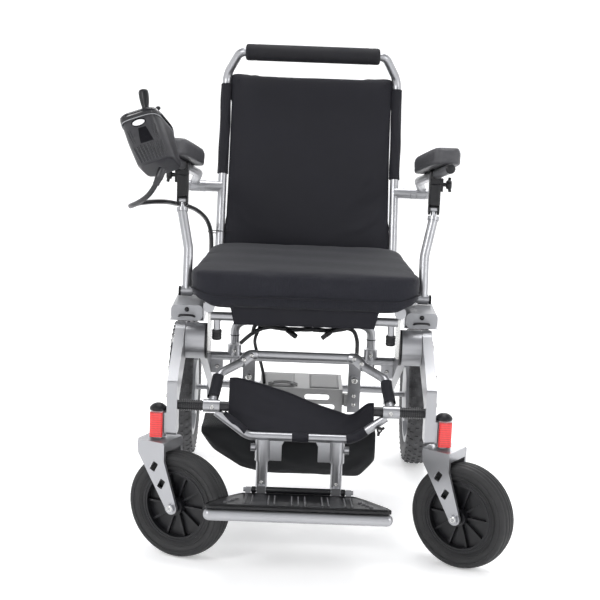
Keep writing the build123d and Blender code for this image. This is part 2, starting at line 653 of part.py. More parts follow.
def arm_latch():
    """Plastic latch under the arm tube, pinned to the strut, with its release knob outboard."""
    outline = [(LATCH_Y - 12, LATCH_Z + 8), (LATCH_Y - 14, 690), (LATCH_Y + 18, 690), (LATCH_Y + 12, LATCH_Z + 8)]
    latch = Part()
    for low in (243, 261):
        latch += side_plate(outline, low, low + 4, 3)
        latch += cross_rod(low, low + 4, LATCH_Y, LATCH_Z, 12)
    latch += block((243, LATCH_Y - 13, 662), (265, LATCH_Y + 15, 704))
    latch += block((264, LATCH_Y - 8, 664), (270, LATCH_Y + 8, 690))
    latch += cross_rod(269, 284, LATCH_Y, 678, 4)
    latch += cross_rod(280, 287, LATCH_Y, 678, 8)
    latch -= rod(TUBE_REAR, TUBE_FRONT, ARM_R + 0.35)
    latch = latch.solids().sort_by(SortBy.VOLUME)[-1]
    return latch + cross_rod(243, 265, LATCH_Y, LATCH_Z, 3.5)


for side, sign in SIDES.items():
    tip = TUBE_FRONT if sign > 0 else TUBE_FRONT + (TUBE_FRONT - TUBE_REAR).normalized() * 86
    pieces = {
        "arm_strut": arm_strut(),
        "arm_latch": arm_latch(),
        "arm_collar": ring_x(226.6, 239.4, ARM_TOP_Y, ARM_TOP_Z, 12.5, 8 + RUN),
        "arm_tube": arm_tube(tip),
        "arm_pad": arm_pad(),
    }
    for name, piece in pieces.items():
        save(f"{name}_{side}", piece if sign > 0 else mirror_x(piece))


# Joystick pod on the left armrest

POD_LONG, POD_WIDE, POD_HIGH = 150, 70, 84
POD_AXIS = Vector(0.165, 0.92, -0.35).normalized()
POD_UP = (Vector(-0.33, 0, 0.944) - POD_AXIS * Vector(-0.33, 0, 0.944).dot(POD_AXIS)).normalized()
POD_ACROSS = POD_AXIS.cross(POD_UP)
POD_TOP = Vector(-309, -58, 822) + POD_AXIS * POD_LONG / 2
POD = Plane(origin=POD_TOP, x_dir=POD_ACROSS, z_dir=POD_UP).location
STICK_X, STICK_Y = 10, -38                 # in the pod's own frame, X across and Y to the rear
BUTTONS = {"power_button": (-14, 30), "horn_button": (14, 30)}
LEVER_X, LEVER_Y = 24, -8
COVER_T = 3


def pod_section(wide, long, shift, height, corner):
    """Rounded rectangle across the pod at a height in its frame."""
    return Pos(0, shift, height) * RectangleRounded(wide, long, corner)


def pod_shell():
    """Outer body of the pod, narrowing downwards, in its own frame."""
    upper = loft([pod_section(POD_WIDE, POD_LONG, 0, 0, 24), pod_section(POD_WIDE - 3, 128, 9, -42, 24)])
    lower = loft([pod_section(POD_WIDE - 3, 128, 9, -42, 24), pod_section(61, 78, 26, -POD_HIGH, 18)])
    return upper + lower


def joystick_case():
    """Lower shell of the pod with the pockets for its controls."""
    case = pod_shell()
    case -= rod((STICK_X, STICK_Y, -32), (STICK_X, STICK_Y, 1), 24)
    for x, y in BUTTONS.values():
        case -= rod((x, y, -7), (x, y, 1), 6.4)
    return case - rod((LEVER_X, LEVER_Y, -12), (LEVER_X, LEVER_Y, 1), 5.5)


def joystick_cover():
    """Top panel of the pod."""
    cover = extrude(pod_section(POD_WIDE, POD_LONG, 0, 0.02, 24), amount=COVER_T)
    cover = fillet(cover.faces().sort_by(Axis.Z)[-1].edges(), 1.5)
    cover -= rod((STICK_X, STICK_Y, -1), (STICK_X, STICK_Y, 5), 17.5)
    for x, y in BUTTONS.values():
        cover -= rod((x, y, -1), (x, y, 5), 6.4)
    return cover - rod((LEVER_X, LEVER_Y, -1), (LEVER_X, LEVER_Y, 5), 5.5)


def joystick_knob():
    """Rubber boot, stem and bulb of the stick, round the local Z axis, its pivot at the local origin."""
    boot = Sphere(17) & (Pos(0, 0, 6) * Box(40, 40, 24))
    stem = rod((0, 0, -22), (0, 0, 30), 4)
    bulb = revolve(make_face(Polyline((0, 20), (5, 20), (7.6, 30), (7.9, 46), (6.5, 49.5), (0, 50.5), close=True)),
                   axis=Axis.Y)
    return boot + stem + Rot(90, 0, 0) * bulb


# Joystick lead: from the pod's gland, out and back past the strut, to a clip low on the left back tube

CORD_ROUTE = [(-271, -14, 704), (-280, -19, 681), (-303, 2, 658), (-333, 46, 641), (-325, 106, 641),
              (-303, 174, 637), (-281, 246, 629), (-270, 318, 617), (-252, 392, 604), (-233, 462, 585),
              (-217, 518, 558), (-208.5, 539, 522), (-208.5, 525, 488)]


def cord_bends(points):
    """Radius at each corner of the route: 0.45 of the shorter run over the tangent of half the turn."""
    radii = []
    for before, corner, after in zip(points, points[1:], points[2:]):
        first = Vector(*corner) - Vector(*before)
        second = Vector(*after) - Vector(*corner)
        half_turn = math.radians(first.get_angle(second)) / 2
        radii.append(0.45 * min(first.length, second.length) / math.tan(half_turn))
    return radii


def cord_solid(name, route, radius):
    """Tube along the route, with its radii, length and volume ratio printed."""
    bends = cord_bends(route)
    path = FilletPolyline(*route, radius=bends)
    cord = sweep(Plane(origin=path @ 0, z_dir=path % 0) * Circle(radius), path=path)
    ratio = cord.volume / (math.pi * radius ** 2 * path.length)
    print(name, "radii", [round(bend) for bend in bends], "length", round(path.length), "ratio", round(ratio, 4))
    return cord


def cord_gland():
    """Strain relief under the pod, in line with the lead's first run."""
    start, following = Vector(*CORD_ROUTE[0]), Vector(*CORD_ROUTE[1])
    return rod(start, start + (start - following).normalized() * 18, 7.5)


save("joystick_cord", cord_solid("joystick_cord", CORD_ROUTE, CORD_R))

STICK = POD * Pos(STICK_X, STICK_Y, 0)
ARM_DIRECTION = (TUBE_FRONT - TUBE_REAR).normalized()
LEFT_CORE = mirror_x(rod(TUBE_REAR, TUBE_FRONT + ARM_DIRECTION * 87, ARM_R + 0.03))
CLAMP = mirror_x(rod(TUBE_FRONT + ARM_DIRECTION * 42, TUBE_FRONT + ARM_DIRECTION * 86, 15))
save("joystick_case", (POD * joystick_case() + CLAMP + cord_gland()) - LEFT_CORE)
save("joystick_cover", POD * joystick_cover())
save("joystick_gimbal", STICK * (rod((0, 0, -20), (0, 0, -15), 16) - rod((0, 0, -21), (0, 0, -14), 11.5)))
save("joystick_knob", STICK * joystick_knob())
for name, (x, y) in BUTTONS.items():
    save(name, POD * rod((x, y, -4), (x, y, COVER_T + 2), 6))
LEVER = rod((0, 0, -2), (0, 0, 14), 2.6) + Pos(0, 0, 14) * Box(10, 3.5, 6) + Sphere(4.6)
save("speed_lever", POD * Pos(LEVER_X, LEVER_Y, 0) * LEVER)


# Wiring under the seat

LEAD_R = 3.5
LEAD_ROUTE = [(-88, 308, 380), (-92, 311, 362), (-101, 314, 341), (-98, 330, 318), (-90, 352, 292),
              (-84, 368, 266), (-80, 374, 246), (-79, 374.5, 231.6)]


def wiring_harness():
    """Bundle that hangs in waves under the seat between the stays, with two plugs on short tails."""
    waves = [(-122, 304, 398), (-104, 302, 386), (-62, 298, 379), (-20, 302, 374), (18, 298, 378),
             (60, 302, 374), (100, 300, 385), (120, 304, 396)]
    bundle = bent_rod(waves, [40] * 6, 5)
    for x, turn in ((-24, 35), (48, -40)):
        bundle += Pos(x, 290, 368) * Rot(0, turn, 0) * Box(26, 11, 8)
    return bundle


save("wiring_harness", wiring_harness())
save("controller_lead", cord_solid("controller_lead", LEAD_ROUTE, LEAD_R))
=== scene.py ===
import json
import math

import bmesh
import bpy
import numpy as np
from mathutils import Matrix, Vector


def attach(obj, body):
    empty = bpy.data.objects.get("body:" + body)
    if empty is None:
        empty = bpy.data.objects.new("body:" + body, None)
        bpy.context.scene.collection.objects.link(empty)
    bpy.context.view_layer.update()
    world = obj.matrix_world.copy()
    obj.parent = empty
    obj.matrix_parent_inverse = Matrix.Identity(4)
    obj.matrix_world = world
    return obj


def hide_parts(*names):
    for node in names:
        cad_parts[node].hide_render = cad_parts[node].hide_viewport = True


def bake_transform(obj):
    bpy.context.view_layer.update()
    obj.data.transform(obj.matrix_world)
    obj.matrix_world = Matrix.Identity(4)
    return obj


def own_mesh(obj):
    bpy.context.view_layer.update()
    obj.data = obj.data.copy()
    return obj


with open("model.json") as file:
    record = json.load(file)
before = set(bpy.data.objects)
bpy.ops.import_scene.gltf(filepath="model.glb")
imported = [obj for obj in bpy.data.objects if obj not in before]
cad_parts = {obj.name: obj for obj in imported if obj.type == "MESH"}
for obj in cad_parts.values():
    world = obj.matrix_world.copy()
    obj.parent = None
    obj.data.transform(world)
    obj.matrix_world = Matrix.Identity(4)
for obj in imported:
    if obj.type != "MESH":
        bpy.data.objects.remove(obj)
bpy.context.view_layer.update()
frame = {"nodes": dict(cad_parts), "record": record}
NODES = frame["nodes"]
MM = 0.001
SIDES = {"left": -1, "right": 1}


# Camera, lights and world

EYE = (-0.0155, -2.495, 0.968)
HEADING, DROP, ROLL = -0.0022, 0.1903, 0.0371
LENS, SENSOR = 83.2, 36
LAMPS = {"key_light": ((-2.0, -2.4, 2.6), (0, 0.2, 0.5), (1.0, 1.0), 42),
         "fill_light": ((2.6, -1.6, 1.5), (0, 0.2, 0.5), (0.7, 1.8), 20),
         "top_light": ((0.1, 0.8, 3.2), (0, 0.3, 0.4), (1.8, 1.4), 52),
         "back_light": ((0.5, 3.0, 2.0), (0, 0.4, 0.4), (1.6, 1.0), 26)}
SKY, SKY_STRENGTH = (0.95, 0.96, 1.0, 1), 0.5


def aim_camera():
    """Camera in front of the chair at head height, looking slightly down; its angles are in radians."""
    data = bpy.data.cameras.new("camera")
    data.lens = LENS
    data.sensor_width = SENSOR
    data.clip_end = 50
    camera = bpy.data.objects.new("camera", data)
    bpy.context.scene.collection.objects.link(camera)
    turn = Matrix.Rotation(HEADING, 4, "Z") @ Matrix.Rotation(math.pi / 2 - DROP, 4, "X")
    camera.matrix_world = Matrix.Translation(EYE) @ turn @ Matrix.Rotation(ROLL, 4, "Z")
    bpy.context.scene.camera = camera


def hang_light(name, place, target, size, power):
    """Soft rectangular lamp at a place, turned towards a target."""
    data = bpy.data.lights.new(name, "AREA")
    data.shape = "RECTANGLE"
    data.size, data.size_y = size
    data.energy = power
    lamp = bpy.data.objects.new(name, data)
    lamp.location = place
    lamp.rotation_euler = (Vector(target) - Vector(place)).to_track_quat("-Z", "Y").to_euler()
    bpy.context.scene.collection.objects.link(lamp)


aim_camera()
for lamp_name, lamp in LAMPS.items():
    hang_light(lamp_name, *lamp)
world = bpy.data.worlds.new("studio")
world.use_nodes = True
sky = world.node_tree.nodes["Background"].inputs
sky["Color"].default_value = SKY
sky["Strength"].default_value = SKY_STRENGTH
bpy.context.scene.world = world
bpy.context.scene.view_settings.view_transform = "Standard"


# Finishes

class Amount:
    """A number that varies over a surface; arithmetic on it adds Math nodes."""

    def __init__(self, finish, socket):
        self.finish = finish
        self.socket = socket

    def maths(self, operation, *values):
        """The result of one maths step on these values."""
        return self.finish.node("ShaderNodeMath", {"operation": operation}, *values)

    def __add__(self, other):
        return self.maths("ADD", self, other)

    def __mul__(self, other):
        return self.maths("MULTIPLY", self, other)

    def __sub__(self, other):
        return self.maths("SUBTRACT", self, other)

    def __rsub__(self, other):
        return self.maths("SUBTRACT", other, self)

    __radd__ = __add__
    __rmul__ = __mul__

    def sine(self):
        return self.maths("SINE", self)

    def size(self):
        return self.maths("ABSOLUTE", self)

    def above(self, low, high):
        """0 below low and 1 above high, smooth between."""
        settings = {"interpolation_type": "SMOOTHSTEP"}
        return self.finish.node("ShaderNodeMapRange", settings, self, low, high, 0.0, 1.0)


class Finish:
    """One material: its node tree and the calls that add to it."""

    def __init__(self, name, colour, roughness, metallic=0.0, **constants):
        self.material = bpy.data.materials.new(name)
        self.material.use_nodes = True
        self.tree = self.material.node_tree
        self.shader = self.tree.nodes["Principled BSDF"]
        self.colour = colour
        self.set("Base Color", (*colour, 1))
        self.set("Roughness", roughness)
        self.set("Metallic", metallic)
        for socket, value in constants.items():
            self.set(socket.replace("_", " "), value)
        self.place = self.node("ShaderNodeTexCoord", {}, output="Object")

    def node(self, kind, settings, *inputs, output=0, **named):
        """A node of a kind, its settings made first, then its sockets by order or by name."""
        made = self.tree.nodes.new(kind)
        stops = settings.pop("stops", None)
        for key, value in settings.items():
            setattr(made, key, value)
        if stops:
            for element, (position, colour) in zip(made.color_ramp.elements, stops):
                element.position = position
                element.color = colour
        for key, value in [*enumerate(inputs), *named.items()]:
            self.feed(made.inputs[key if isinstance(key, int) else key.replace("_", " ")], value)
        return Amount(self, made.outputs[output])

    def feed(self, socket, value):
        """Joins a value, or another node's result, to a socket."""
        if isinstance(value, Amount):
            self.tree.links.new(value.socket, socket)
        else:
            socket.default_value = value

    def set(self, name, value):
        """Sets one input of the surface by its name."""
        self.feed(self.shader.inputs[name], value)

    def noise(self, scale, detail=3.0, place=None, **named):
        """Cloudy noise from 0 to 1, by default on the piece's own coordinates in metres."""
        place = place or self.place
        return self.node("ShaderNodeTexNoise", {}, Vector=place, Scale=scale, Detail=detail, **named)

    def axes(self, place=None):
        """The three coordinates one by one."""
        split = self.node("ShaderNodeSeparateXYZ", {}, place or self.place)
        return [Amount(self, output) for output in split.socket.node.outputs]

    def cloth_place(self):
        """Distances in metres along the cloth, from its own map."""
        return self.node("ShaderNodeUVMap", {"uv_map": "cloth"})

    def mix(self, amount, dark, light):
        """Colour from dark to light as the amount goes from 0 to 1."""
        settings = {"data_type": "RGBA"}
        made = self.node("ShaderNodeMix", settings, amount, output=2)
        self.feed(made.socket.node.inputs[6], (*dark, 1))
        self.feed(made.socket.node.inputs[7], (*light, 1))
        return made

    def tint(self, amount, low, high):
        """Base colour between low and high times the finish's own colour."""
        dark = [min(1.0, part * low) for part in self.colour]
        light = [min(1.0, part * high) for part in self.colour]
        self.set("Base Color", self.mix(amount, dark, light))

    def bump(self, height, depth):
        """Relief from a height of 0 to 1, times a depth in metres."""
        relief = self.node("ShaderNodeBump", {}, output=0, Distance=depth, Strength=1.0, Height=height)
        self.set("Normal", relief)


def metal_finish(name, colour, roughness, metallic, grain=0.25, **constants):
    """Coated or bare metal with faint clouds, fine grain and dulled patches."""
    finish = Finish(name, colour, roughness, metallic, **constants)
    clouds = finish.noise(9.0, 4.0)
    fine = finish.noise(900.0, 2.0)
    finish.tint(clouds * 0.6 + fine * 0.4, 0.9, 1.08)
    finish.set("Roughness", clouds * 0.16 + fine * 0.06 + (roughness - 0.11))
    finish.bump(fine, grain * 0.0001)
    return finish.material


def plastic_finish(name, colour, roughness, scale=1400.0, depth=0.00004, **constants):
    """Moulded plastic with a spark-eroded grain and faint handling marks."""
    finish = Finish(name, colour, roughness, **constants)
    grain = finish.noise(scale, 1.0)
    wear = finish.noise(22.0, 5.0).above(0.45, 0.75)
    finish.tint(grain * 0.5 + wear * 0.5, 0.8, 1.35)
    finish.set("Roughness", wear * 0.1 + (roughness - 0.04))
    finish.bump(grain, depth)
    return finish.material


def nylon_finish(name, colour, thread, **constants):
    """Plain-woven nylon: crossing threads along the cloth, soft rumples with painted shade and highlight in
    the colour, and a slight sheen.
    """
    finish = Finish(name, colour, 0.72, Sheen_Weight=0.04, Sheen_Roughness=0.4, Specular_IOR_Level=0.3,
                    **constants)
    along, over, _ = finish.axes(finish.cloth_place())
    turns = math.pi / thread
    weave = (along * turns).sine() * (over * turns).sine() * 0.5 + 0.5
    rumple = finish.noise(14.0, 4.0)
    lint = finish.noise(420.0, 2.0)
    # Painted shade and highlight: the colour follows the rumples' relief, lighter where they rise and darker
    # where they sink; threads and lint are the cloth's own tone.
    finish.tint(weave * 0.35 + rumple * 0.45 + lint * 0.2, 0.55, 1.5)
    finish.set("Roughness", weave * 0.12 + 0.64)
    finish.bump(weave * 0.12 + rumple * 1.0, 0.0022)
    return finish.material


def spacer_finish(name, colour):
    """Spacer mesh: rows of small holes, each row shifted half a step from the last, over soft rumples;
    painted shade darkens the holes and the rumples carry painted shade and highlight.
    """
    finish = Finish(name, colour, 0.8, Sheen_Weight=0.08, Sheen_Roughness=0.4, Specular_IOR_Level=0.3)
    along, over, _ = finish.axes(finish.cloth_place())
    step = 2 * math.pi / 0.0038
    first = (along * step).sine() * (over * step * 0.58).sine()
    holes = first.size().above(0.35, 0.8)
    rumple = finish.noise(11.0, 4.0)
    lint = finish.noise(260.0, 3.0)
    # Painted shade in the holes, and painted shade and highlight that follow the rumples' relief; the lint is
    # the mesh's own tone.
    finish.tint(holes * -0.45 + rumple * 0.35 + lint * 0.5 + 0.25, 0.4, 1.75)
    finish.bump(holes * -0.22 + rumple * 0.8 + lint * 0.12, 0.0024)
    return finish.material


def rubber_finish(name, colour, dust):
    """Tyre rubber, greyed a little where it has rolled."""
    finish = Finish(name, colour, 0.68)
    scuff = finish.noise(60.0, 5.0).above(0.4, 0.7)
    grain = finish.noise(900.0, 2.0)
    finish.tint(scuff * dust + grain * 0.3, 0.75, 1.9)
    finish.set("Roughness", scuff * 0.15 + 0.6)
    finish.bump(grain, 0.00012)
    return finish.material


def lens_finish(name, colour):
    """Red reflector: rows of small prisms under a clear gloss, and a faint painted glow in its own red."""
    # Painted glow: the lens gives off a faint light in its own red, though it is no lamp.
    finish = Finish(name, colour, 0.18, Coat_Weight=0.8, Coat_Roughness=0.05, Emission_Strength=0.08)
    across, _, up = finish.axes()
    step = math.pi / 0.0024
    prisms = ((across + up * 0.58) * step).sine() * ((across - up * 0.58) * step).sine() * 0.5 + 0.5
    finish.tint(prisms, 0.55, 1.4)
    finish.set("Emission Color", (*colour, 1))
    finish.bump(prisms, 0.0005)
    return finish.material


FINISHES = {
    "alloy": metal_finish("alloy_paint", (0.36, 0.363, 0.378), 0.32, 0.88, 0.3, Coat_Weight=0.2,
                          Coat_Roughness=0.2),
    "steel": metal_finish("zinc_steel", (0.55, 0.55, 0.54), 0.26, 1.0, 0.2),
    "grey_metal": metal_finish("cover_paint", (0.30, 0.30, 0.30), 0.5, 0.2, 0.5),
    "black_metal": metal_finish("black_paint", (0.014, 0.014, 0.016), 0.35, 0.2, 0.2),
    "black_plastic": plastic_finish("black_plastic", (0.006, 0.006, 0.0075), 0.4, Specular_IOR_Level=0.35),
    "grey_plastic": plastic_finish("grey_plastic", (0.30, 0.305, 0.32), 0.42),
    "pod_plastic": plastic_finish("pod_plastic", (0.0165, 0.0165, 0.020), 0.38),
    "gloss_black": plastic_finish("gloss_black", (0.008, 0.008, 0.010), 0.16, depth=0.00001),
    "red_lens": lens_finish("red_lens", (0.62, 0.012, 0.012)),
    "cloth": nylon_finish("black_nylon", (0.0052, 0.0052, 0.009), 0.0011),
    "mesh_cloth": spacer_finish("spacer_mesh", (0.0082, 0.0085, 0.0132)),
    "pad_foam": plastic_finish("pad_skin", (0.05, 0.05, 0.055), 0.5, 700.0, 0.0002),
    "grip_foam": plastic_finish("grip_foam", (0.0065, 0.0065, 0.009), 0.7, 800.0, 0.0003,
                                Specular_IOR_Level=0.3),
    "tyre_black": rubber_finish("caster_rubber", (0.0085, 0.0085, 0.0092), 0.5),
    "tyre_grey": rubber_finish("drive_rubber", (0.036, 0.036, 0.038), 0.8),
    "cord_black": plastic_finish("cord_jacket", (0.009, 0.009, 0.011), 0.35, 500.0, 0.00008),
    "badge_white": plastic_finish("badge_white", (0.78, 0.78, 0.80), 0.3),
    "window_black": plastic_finish("pod_window", (0.002, 0.002, 0.004), 0.6, Specular_IOR_Level=0.12),
    # Painted highlight: the dashes' lighter grey stands for the light on their raised tops.
    "dash_painted_highlight": plastic_finish("dash_painted_highlight", (0.075, 0.075, 0.08), 0.45),
    # Painted highlight: the bag's nylon is a lighter copy of the black nylon, standing for the light on its
    # folds.
    "bag_cloth_highlit": nylon_finish("bag_nylon_highlit", (0.011, 0.0118, 0.0135), 0.0011),
}


# Meshes

def sheet_quads(rows, columns, loop_rows=False, loop_columns=False):
    """Four-sided faces of a table of points with rows and columns, closed round where it loops."""
    r, c = np.meshgrid(np.arange(rows - (not loop_rows)), np.arange(columns - (not loop_columns)),
                       indexing="ij")
    r2, c2 = (r + 1) % rows, (c + 1) % columns
    return np.stack([r * columns + c, r * columns + c2, r2 * columns + c2, r2 * columns + c],
                    -1).reshape(-1, 4)


def surface(points, loop_rows=False, loop_columns=False):
    """Points [row, column, xyz] in mm as one part: points, faces, and each corner's place on the cloth."""
    rows, columns = points.shape[:2]
    quads = sheet_quads(rows, columns, loop_rows, loop_columns)
    down = np.cumsum(np.linalg.norm(np.diff(points, axis=0, prepend=points[:1]), axis=2), axis=0).mean(1)
    over = np.cumsum(np.linalg.norm(np.diff(points, axis=1, prepend=points[:, :1]), axis=2), axis=1).mean(0)
    down_step = np.append(down, down[-1] + np.linalg.norm(points[0] - points[-1], axis=1).mean())
    over_step = np.append(over, over[-1] + np.linalg.norm(points[:, 0] - points[:, -1], axis=1).mean())
    row, column = np.divmod(quads[:, 0], columns)
    corners = [(column, row), (column + 1, row), (column + 1, row + 1), (column, row + 1)]
    cloth = np.stack([np.stack([over_step[c], down_step[r]], -1) for c, r in corners], 1)
    return points.reshape(-1, 3), quads, cloth.reshape(-1, 2)


def join(*parts):
    """Several parts as one."""
    starts = np.cumsum([0] + [len(points) for points, _, _ in parts[:-1]])
    faces = np.concatenate([faces + start for (_, faces, _), start in zip(parts, starts)])
    return np.concatenate([p for p, _, _ in parts]), faces, np.concatenate([c for _, _, c in parts])


def build(name, part, finish, body, modifiers=(), outward=True):
    """Makes the part an object, closes its seams and poles, gives it a finish and hangs it on a body."""
    points, faces, cloth = part
    mesh = bpy.data.meshes.new(name)
    mesh.from_pydata((points * MM).tolist(), [], faces.tolist())
    layer = mesh.uv_layers.new(name="cloth")
    layer.data.foreach_set("uv", (cloth * MM).astype(np.float32).ravel())
    work = bmesh.new()
    work.from_mesh(mesh)
    bmesh.ops.remove_doubles(work, verts=work.verts, dist=2e-6)
    bmesh.ops.dissolve_degenerate(work, edges=work.edges, dist=1e-6)
    if outward:
        bmesh.ops.recalc_face_normals(work, faces=work.faces)
    work.to_mesh(mesh)
    work.free()
    mesh.polygons.foreach_set("use_smooth", np.ones(len(mesh.polygons), bool))
    mesh.materials.append(FINISHES[finish])
    made = bpy.data.objects.new(name, mesh)
    bpy.context.scene.collection.objects.link(made)
    for kind, settings in modifiers:
        add_modifier(made, kind, **settings)
    if body:
        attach(made, body)
    return made


def add_modifier(piece, kind, **settings):
    """A modifier that stays live on the piece."""
    modifier = piece.modifiers.new(kind.lower(), kind)
    for key, value in settings.items():
        setattr(modifier, key, value)
    return modifier


SUBDIVIDE = ("SUBSURF", {"levels": 1, "render_levels": 1})


def settle(piece):
    """Makes what the piece's modifiers do its own mesh, and takes them off."""
    graph = bpy.context.evaluated_depsgraph_get()
    graph.update()
    made = bpy.data.meshes.new_from_object(piece.evaluated_get(graph), preserve_all_data_layers=True,
                                           depsgraph=graph)
    piece.modifiers.clear()
    piece.data = made
    return piece


def around(count):
    """Angles once round a circle, evenly apart."""
    return np.linspace(0, 2 * math.pi, count, endpoint=False)


def unit(vector):
    """Vectors scaled to length one."""
    vector = np.asarray(vector, float)
    return vector / np.linalg.norm(vector, axis=-1, keepdims=True)


def smooth_path(points, count):
    """A smooth line through a few points: each coordinate is a cubic of the distance along them."""
    points = np.asarray(points, float)
    steps = np.linalg.norm(np.diff(points, axis=0), axis=1)
    at = np.concatenate([[0], np.cumsum(steps)])
    slopes = np.gradient(points, at, axis=0)
    where = np.linspace(0, at[-1], count)
    index = np.clip(np.searchsorted(at, where, side="right") - 1, 0, len(steps) - 1)
    t = ((where - at[index]) / steps[index])[:, None]
    h = steps[index][:, None]
    a, b = points[index], points[index + 1]
    da, db = slopes[index] * h, slopes[index + 1] * h
    near, far = 2 * t**3 - 3 * t**2 + 1, 3 * t**2 - 2 * t**3
    return near * a + (t**3 - 2 * t**2 + t) * da + far * b + (t**3 - t**2) * db


def tube(path, radius, sides=20, up=(0, 0, 1), capped=True, looped=False):
    """Circle carried along a path: centre + r (cos v across + sin v above); r may vary along and round it."""
    path = np.asarray(path, float)
    if looped:
        ahead = np.roll(path, -1, 0) - np.roll(path, 1, 0)
    else:
        ahead = np.gradient(path, axis=0)
    ahead = unit(ahead)
    across = unit(np.cross(ahead, up))
    above = np.cross(across, ahead)
    v = around(sides)
    radius = np.broadcast_to(np.asarray(radius, float), (len(path),
                                                         sides) if np.ndim(radius) > 1 else (len(path),))
    radius = radius if radius.ndim > 1 else radius[:, None]
    ring = np.cos(v)[:, None] * across[:, None] + np.sin(v)[:, None] * above[:, None]
    points = path[:, None] + radius[..., None] * ring
    if capped and not looped:
        ends = np.repeat(path[[0, -1], None], sides, 1)
        points = np.concatenate([ends[:1], points, ends[1:]])
    return surface(points, loop_rows=looped, loop_columns=True)


def turned(profile, origin, axis, sides=40, closed=False):
    """A profile of (radius, height) turned round an axis from an origin."""
    profile = np.asarray(profile, float)
    axis = unit(axis)
    other = (0, 0, 1) if abs(axis[2]) < 0.9 else (1, 0, 0)
    across = unit(np.cross(axis, other))
    above = np.cross(axis, across)
    v = around(sides)
    ring = np.cos(v)[:, None] * across + np.sin(v)[:, None] * above
    points = np.asarray(origin, float) + profile[:, None, 1:] * axis + profile[:, None, :1] * ring
    return surface(points, loop_rows=closed, loop_columns=True)


def box_lattice(counts):
    """A box's six faces as one lattice: places from -1 to 1, faces, and the two flat axes of each face."""
    counts = np.asarray(counts)
    corners, flat = [], []
    for axis in range(3):
        i, j = (axis + 1) % 3, (axis + 2) % 3
        a, b = np.meshgrid(np.arange(counts[i]), np.arange(counts[j]), indexing="ij")
        for end in (0, counts[axis]):
            order = [(0, 0), (1, 0), (1, 1), (0, 1)] if end else [(0, 0), (0, 1), (1, 1), (1, 0)]
            quad = np.zeros((a.size, 4, 3), int)
            for corner, (da, db) in enumerate(order):
                quad[:, corner, i] = (a + da).ravel()
                quad[:, corner, j] = (b + db).ravel()
                quad[:, corner, axis] = end
            corners.append(quad)
            flat.append(np.full((a.size, 4, 2), (i, j)))
    corners, flat = np.concatenate(corners), np.concatenate(flat)
    places, index = np.unique(corners.reshape(-1, 3), axis=0, return_inverse=True)
    return places / counts * 2 - 1, index.reshape(-1, 4), flat.reshape(-1, 2)


def padded_box(counts, shape, half):
    """A box lattice carried to its place by shape(a, b, c); half, the half sizes, sets the cloth's place."""
    places, faces, flat = box_lattice(counts)
    at = places[faces.ravel()] * half
    cloth = np.take_along_axis(at, flat, axis=1)
    return shape(*places.T), faces, cloth


def squared_round(a, b, power):
    """A square from -1 to 1 drawn in to a rounded square, the same amount all along each ray."""
    reach = np.maximum(np.abs(a), np.abs(b))
    norm = (np.abs(a) ** power + np.abs(b) ** power) ** (1 / power)
    share = np.where(reach > 1e-9, reach / np.maximum(norm, 1e-9), 1)
    return a * share, b * share


def step(x, low, high):
    """0 below low, 1 above high, smooth between."""
    t = np.clip((x - low) / (high - low), 0, 1)
    return t * t * (3 - 2 * t)


def crease(x, y, start, end, width):
    """Height of a fold along a line from start to end, one at its middle and fading to its ends."""
    (x0, y0), (x1, y1) = start, end
    run, rise = x1 - x0, y1 - y0
    length = math.hypot(run, rise)
    along = ((x - x0) * run + (y - y0) * rise) / length**2
    off = ((x - x0) * rise - (y - y0) * run) / length
    return np.exp(-((off / width) ** 2)) * np.clip(1 - (2 * along - 1) ** 2, 0, 1)


PADDING = {"quality": 5, "mass": 0.3, "tension_stiffness": 12, "bending_stiffness": 0.6, "use_pressure": True,
           "shrink_min": -0.02}


def puff(piece, pressure, cap, frames):
    """Blows a closed cloth up a little: pressure inside, no gravity, no point moved past the cap (mm)."""
    before = np.zeros(len(piece.data.vertices) * 3, np.float32)
    piece.data.vertices.foreach_get("co", before)
    cloth = piece.modifiers.new("cloth", "CLOTH")
    for key, value in PADDING.items():
        setattr(cloth.settings, key, value)
    cloth.settings.uniform_pressure_force = pressure
    cloth.settings.effector_weights.gravity = 0
    cloth.point_cache.frame_start = 1
    cloth.point_cache.frame_end = frames
    for number in range(1, frames + 1):
        bpy.context.scene.frame_set(number)
    settle(piece)
    after = np.zeros_like(before)
    piece.data.vertices.foreach_get("co", after)
    before, after = before.reshape(-1, 3), after.reshape(-1, 3)
    moved = after - before
    far = np.linalg.norm(moved, axis=1, keepdims=True)
    moved *= np.minimum(1, cap * MM / np.maximum(far, 1e-9))
    piece.data.vertices.foreach_set("co", (before + moved).ravel())
    bpy.context.scene.frame_set(1)


def stuff(piece, body, node, pressure, cap, frames=16):
    """Settles a padded piece, blows it up, hangs it on its body and hides the CAD node that it stands for."""
    settle(piece)
    puff(piece, pressure, cap, frames)
    add_modifier(piece, "SUBSURF", levels=1, render_levels=1)
    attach(piece, body)
    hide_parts(node)


# Carried-over parts take the finish of the record's slot

def dress_frame():
    """Gives every CAD node the finish that its slot names."""
    slots = {row["node"]: row["material_slot"] for row in frame["record"]["subparts"]}
    for name, node in NODES.items():
        node.data.materials.clear()
        node.data.materials.append(FINISHES[slots[name]])


dress_frame()


# Cushion and seat cloth

CUSHION_LOW, CUSHION_TOP, NOSE_LOW = 461.5, 515.0, 446.0
CUSHION_MIDDLE, CUSHION_HALF_LONG = 290, 193
CUSHION_HALF_FRONT, CUSHION_HALF_REAR = 228, 204
CUSHION_SEAM = -0.25


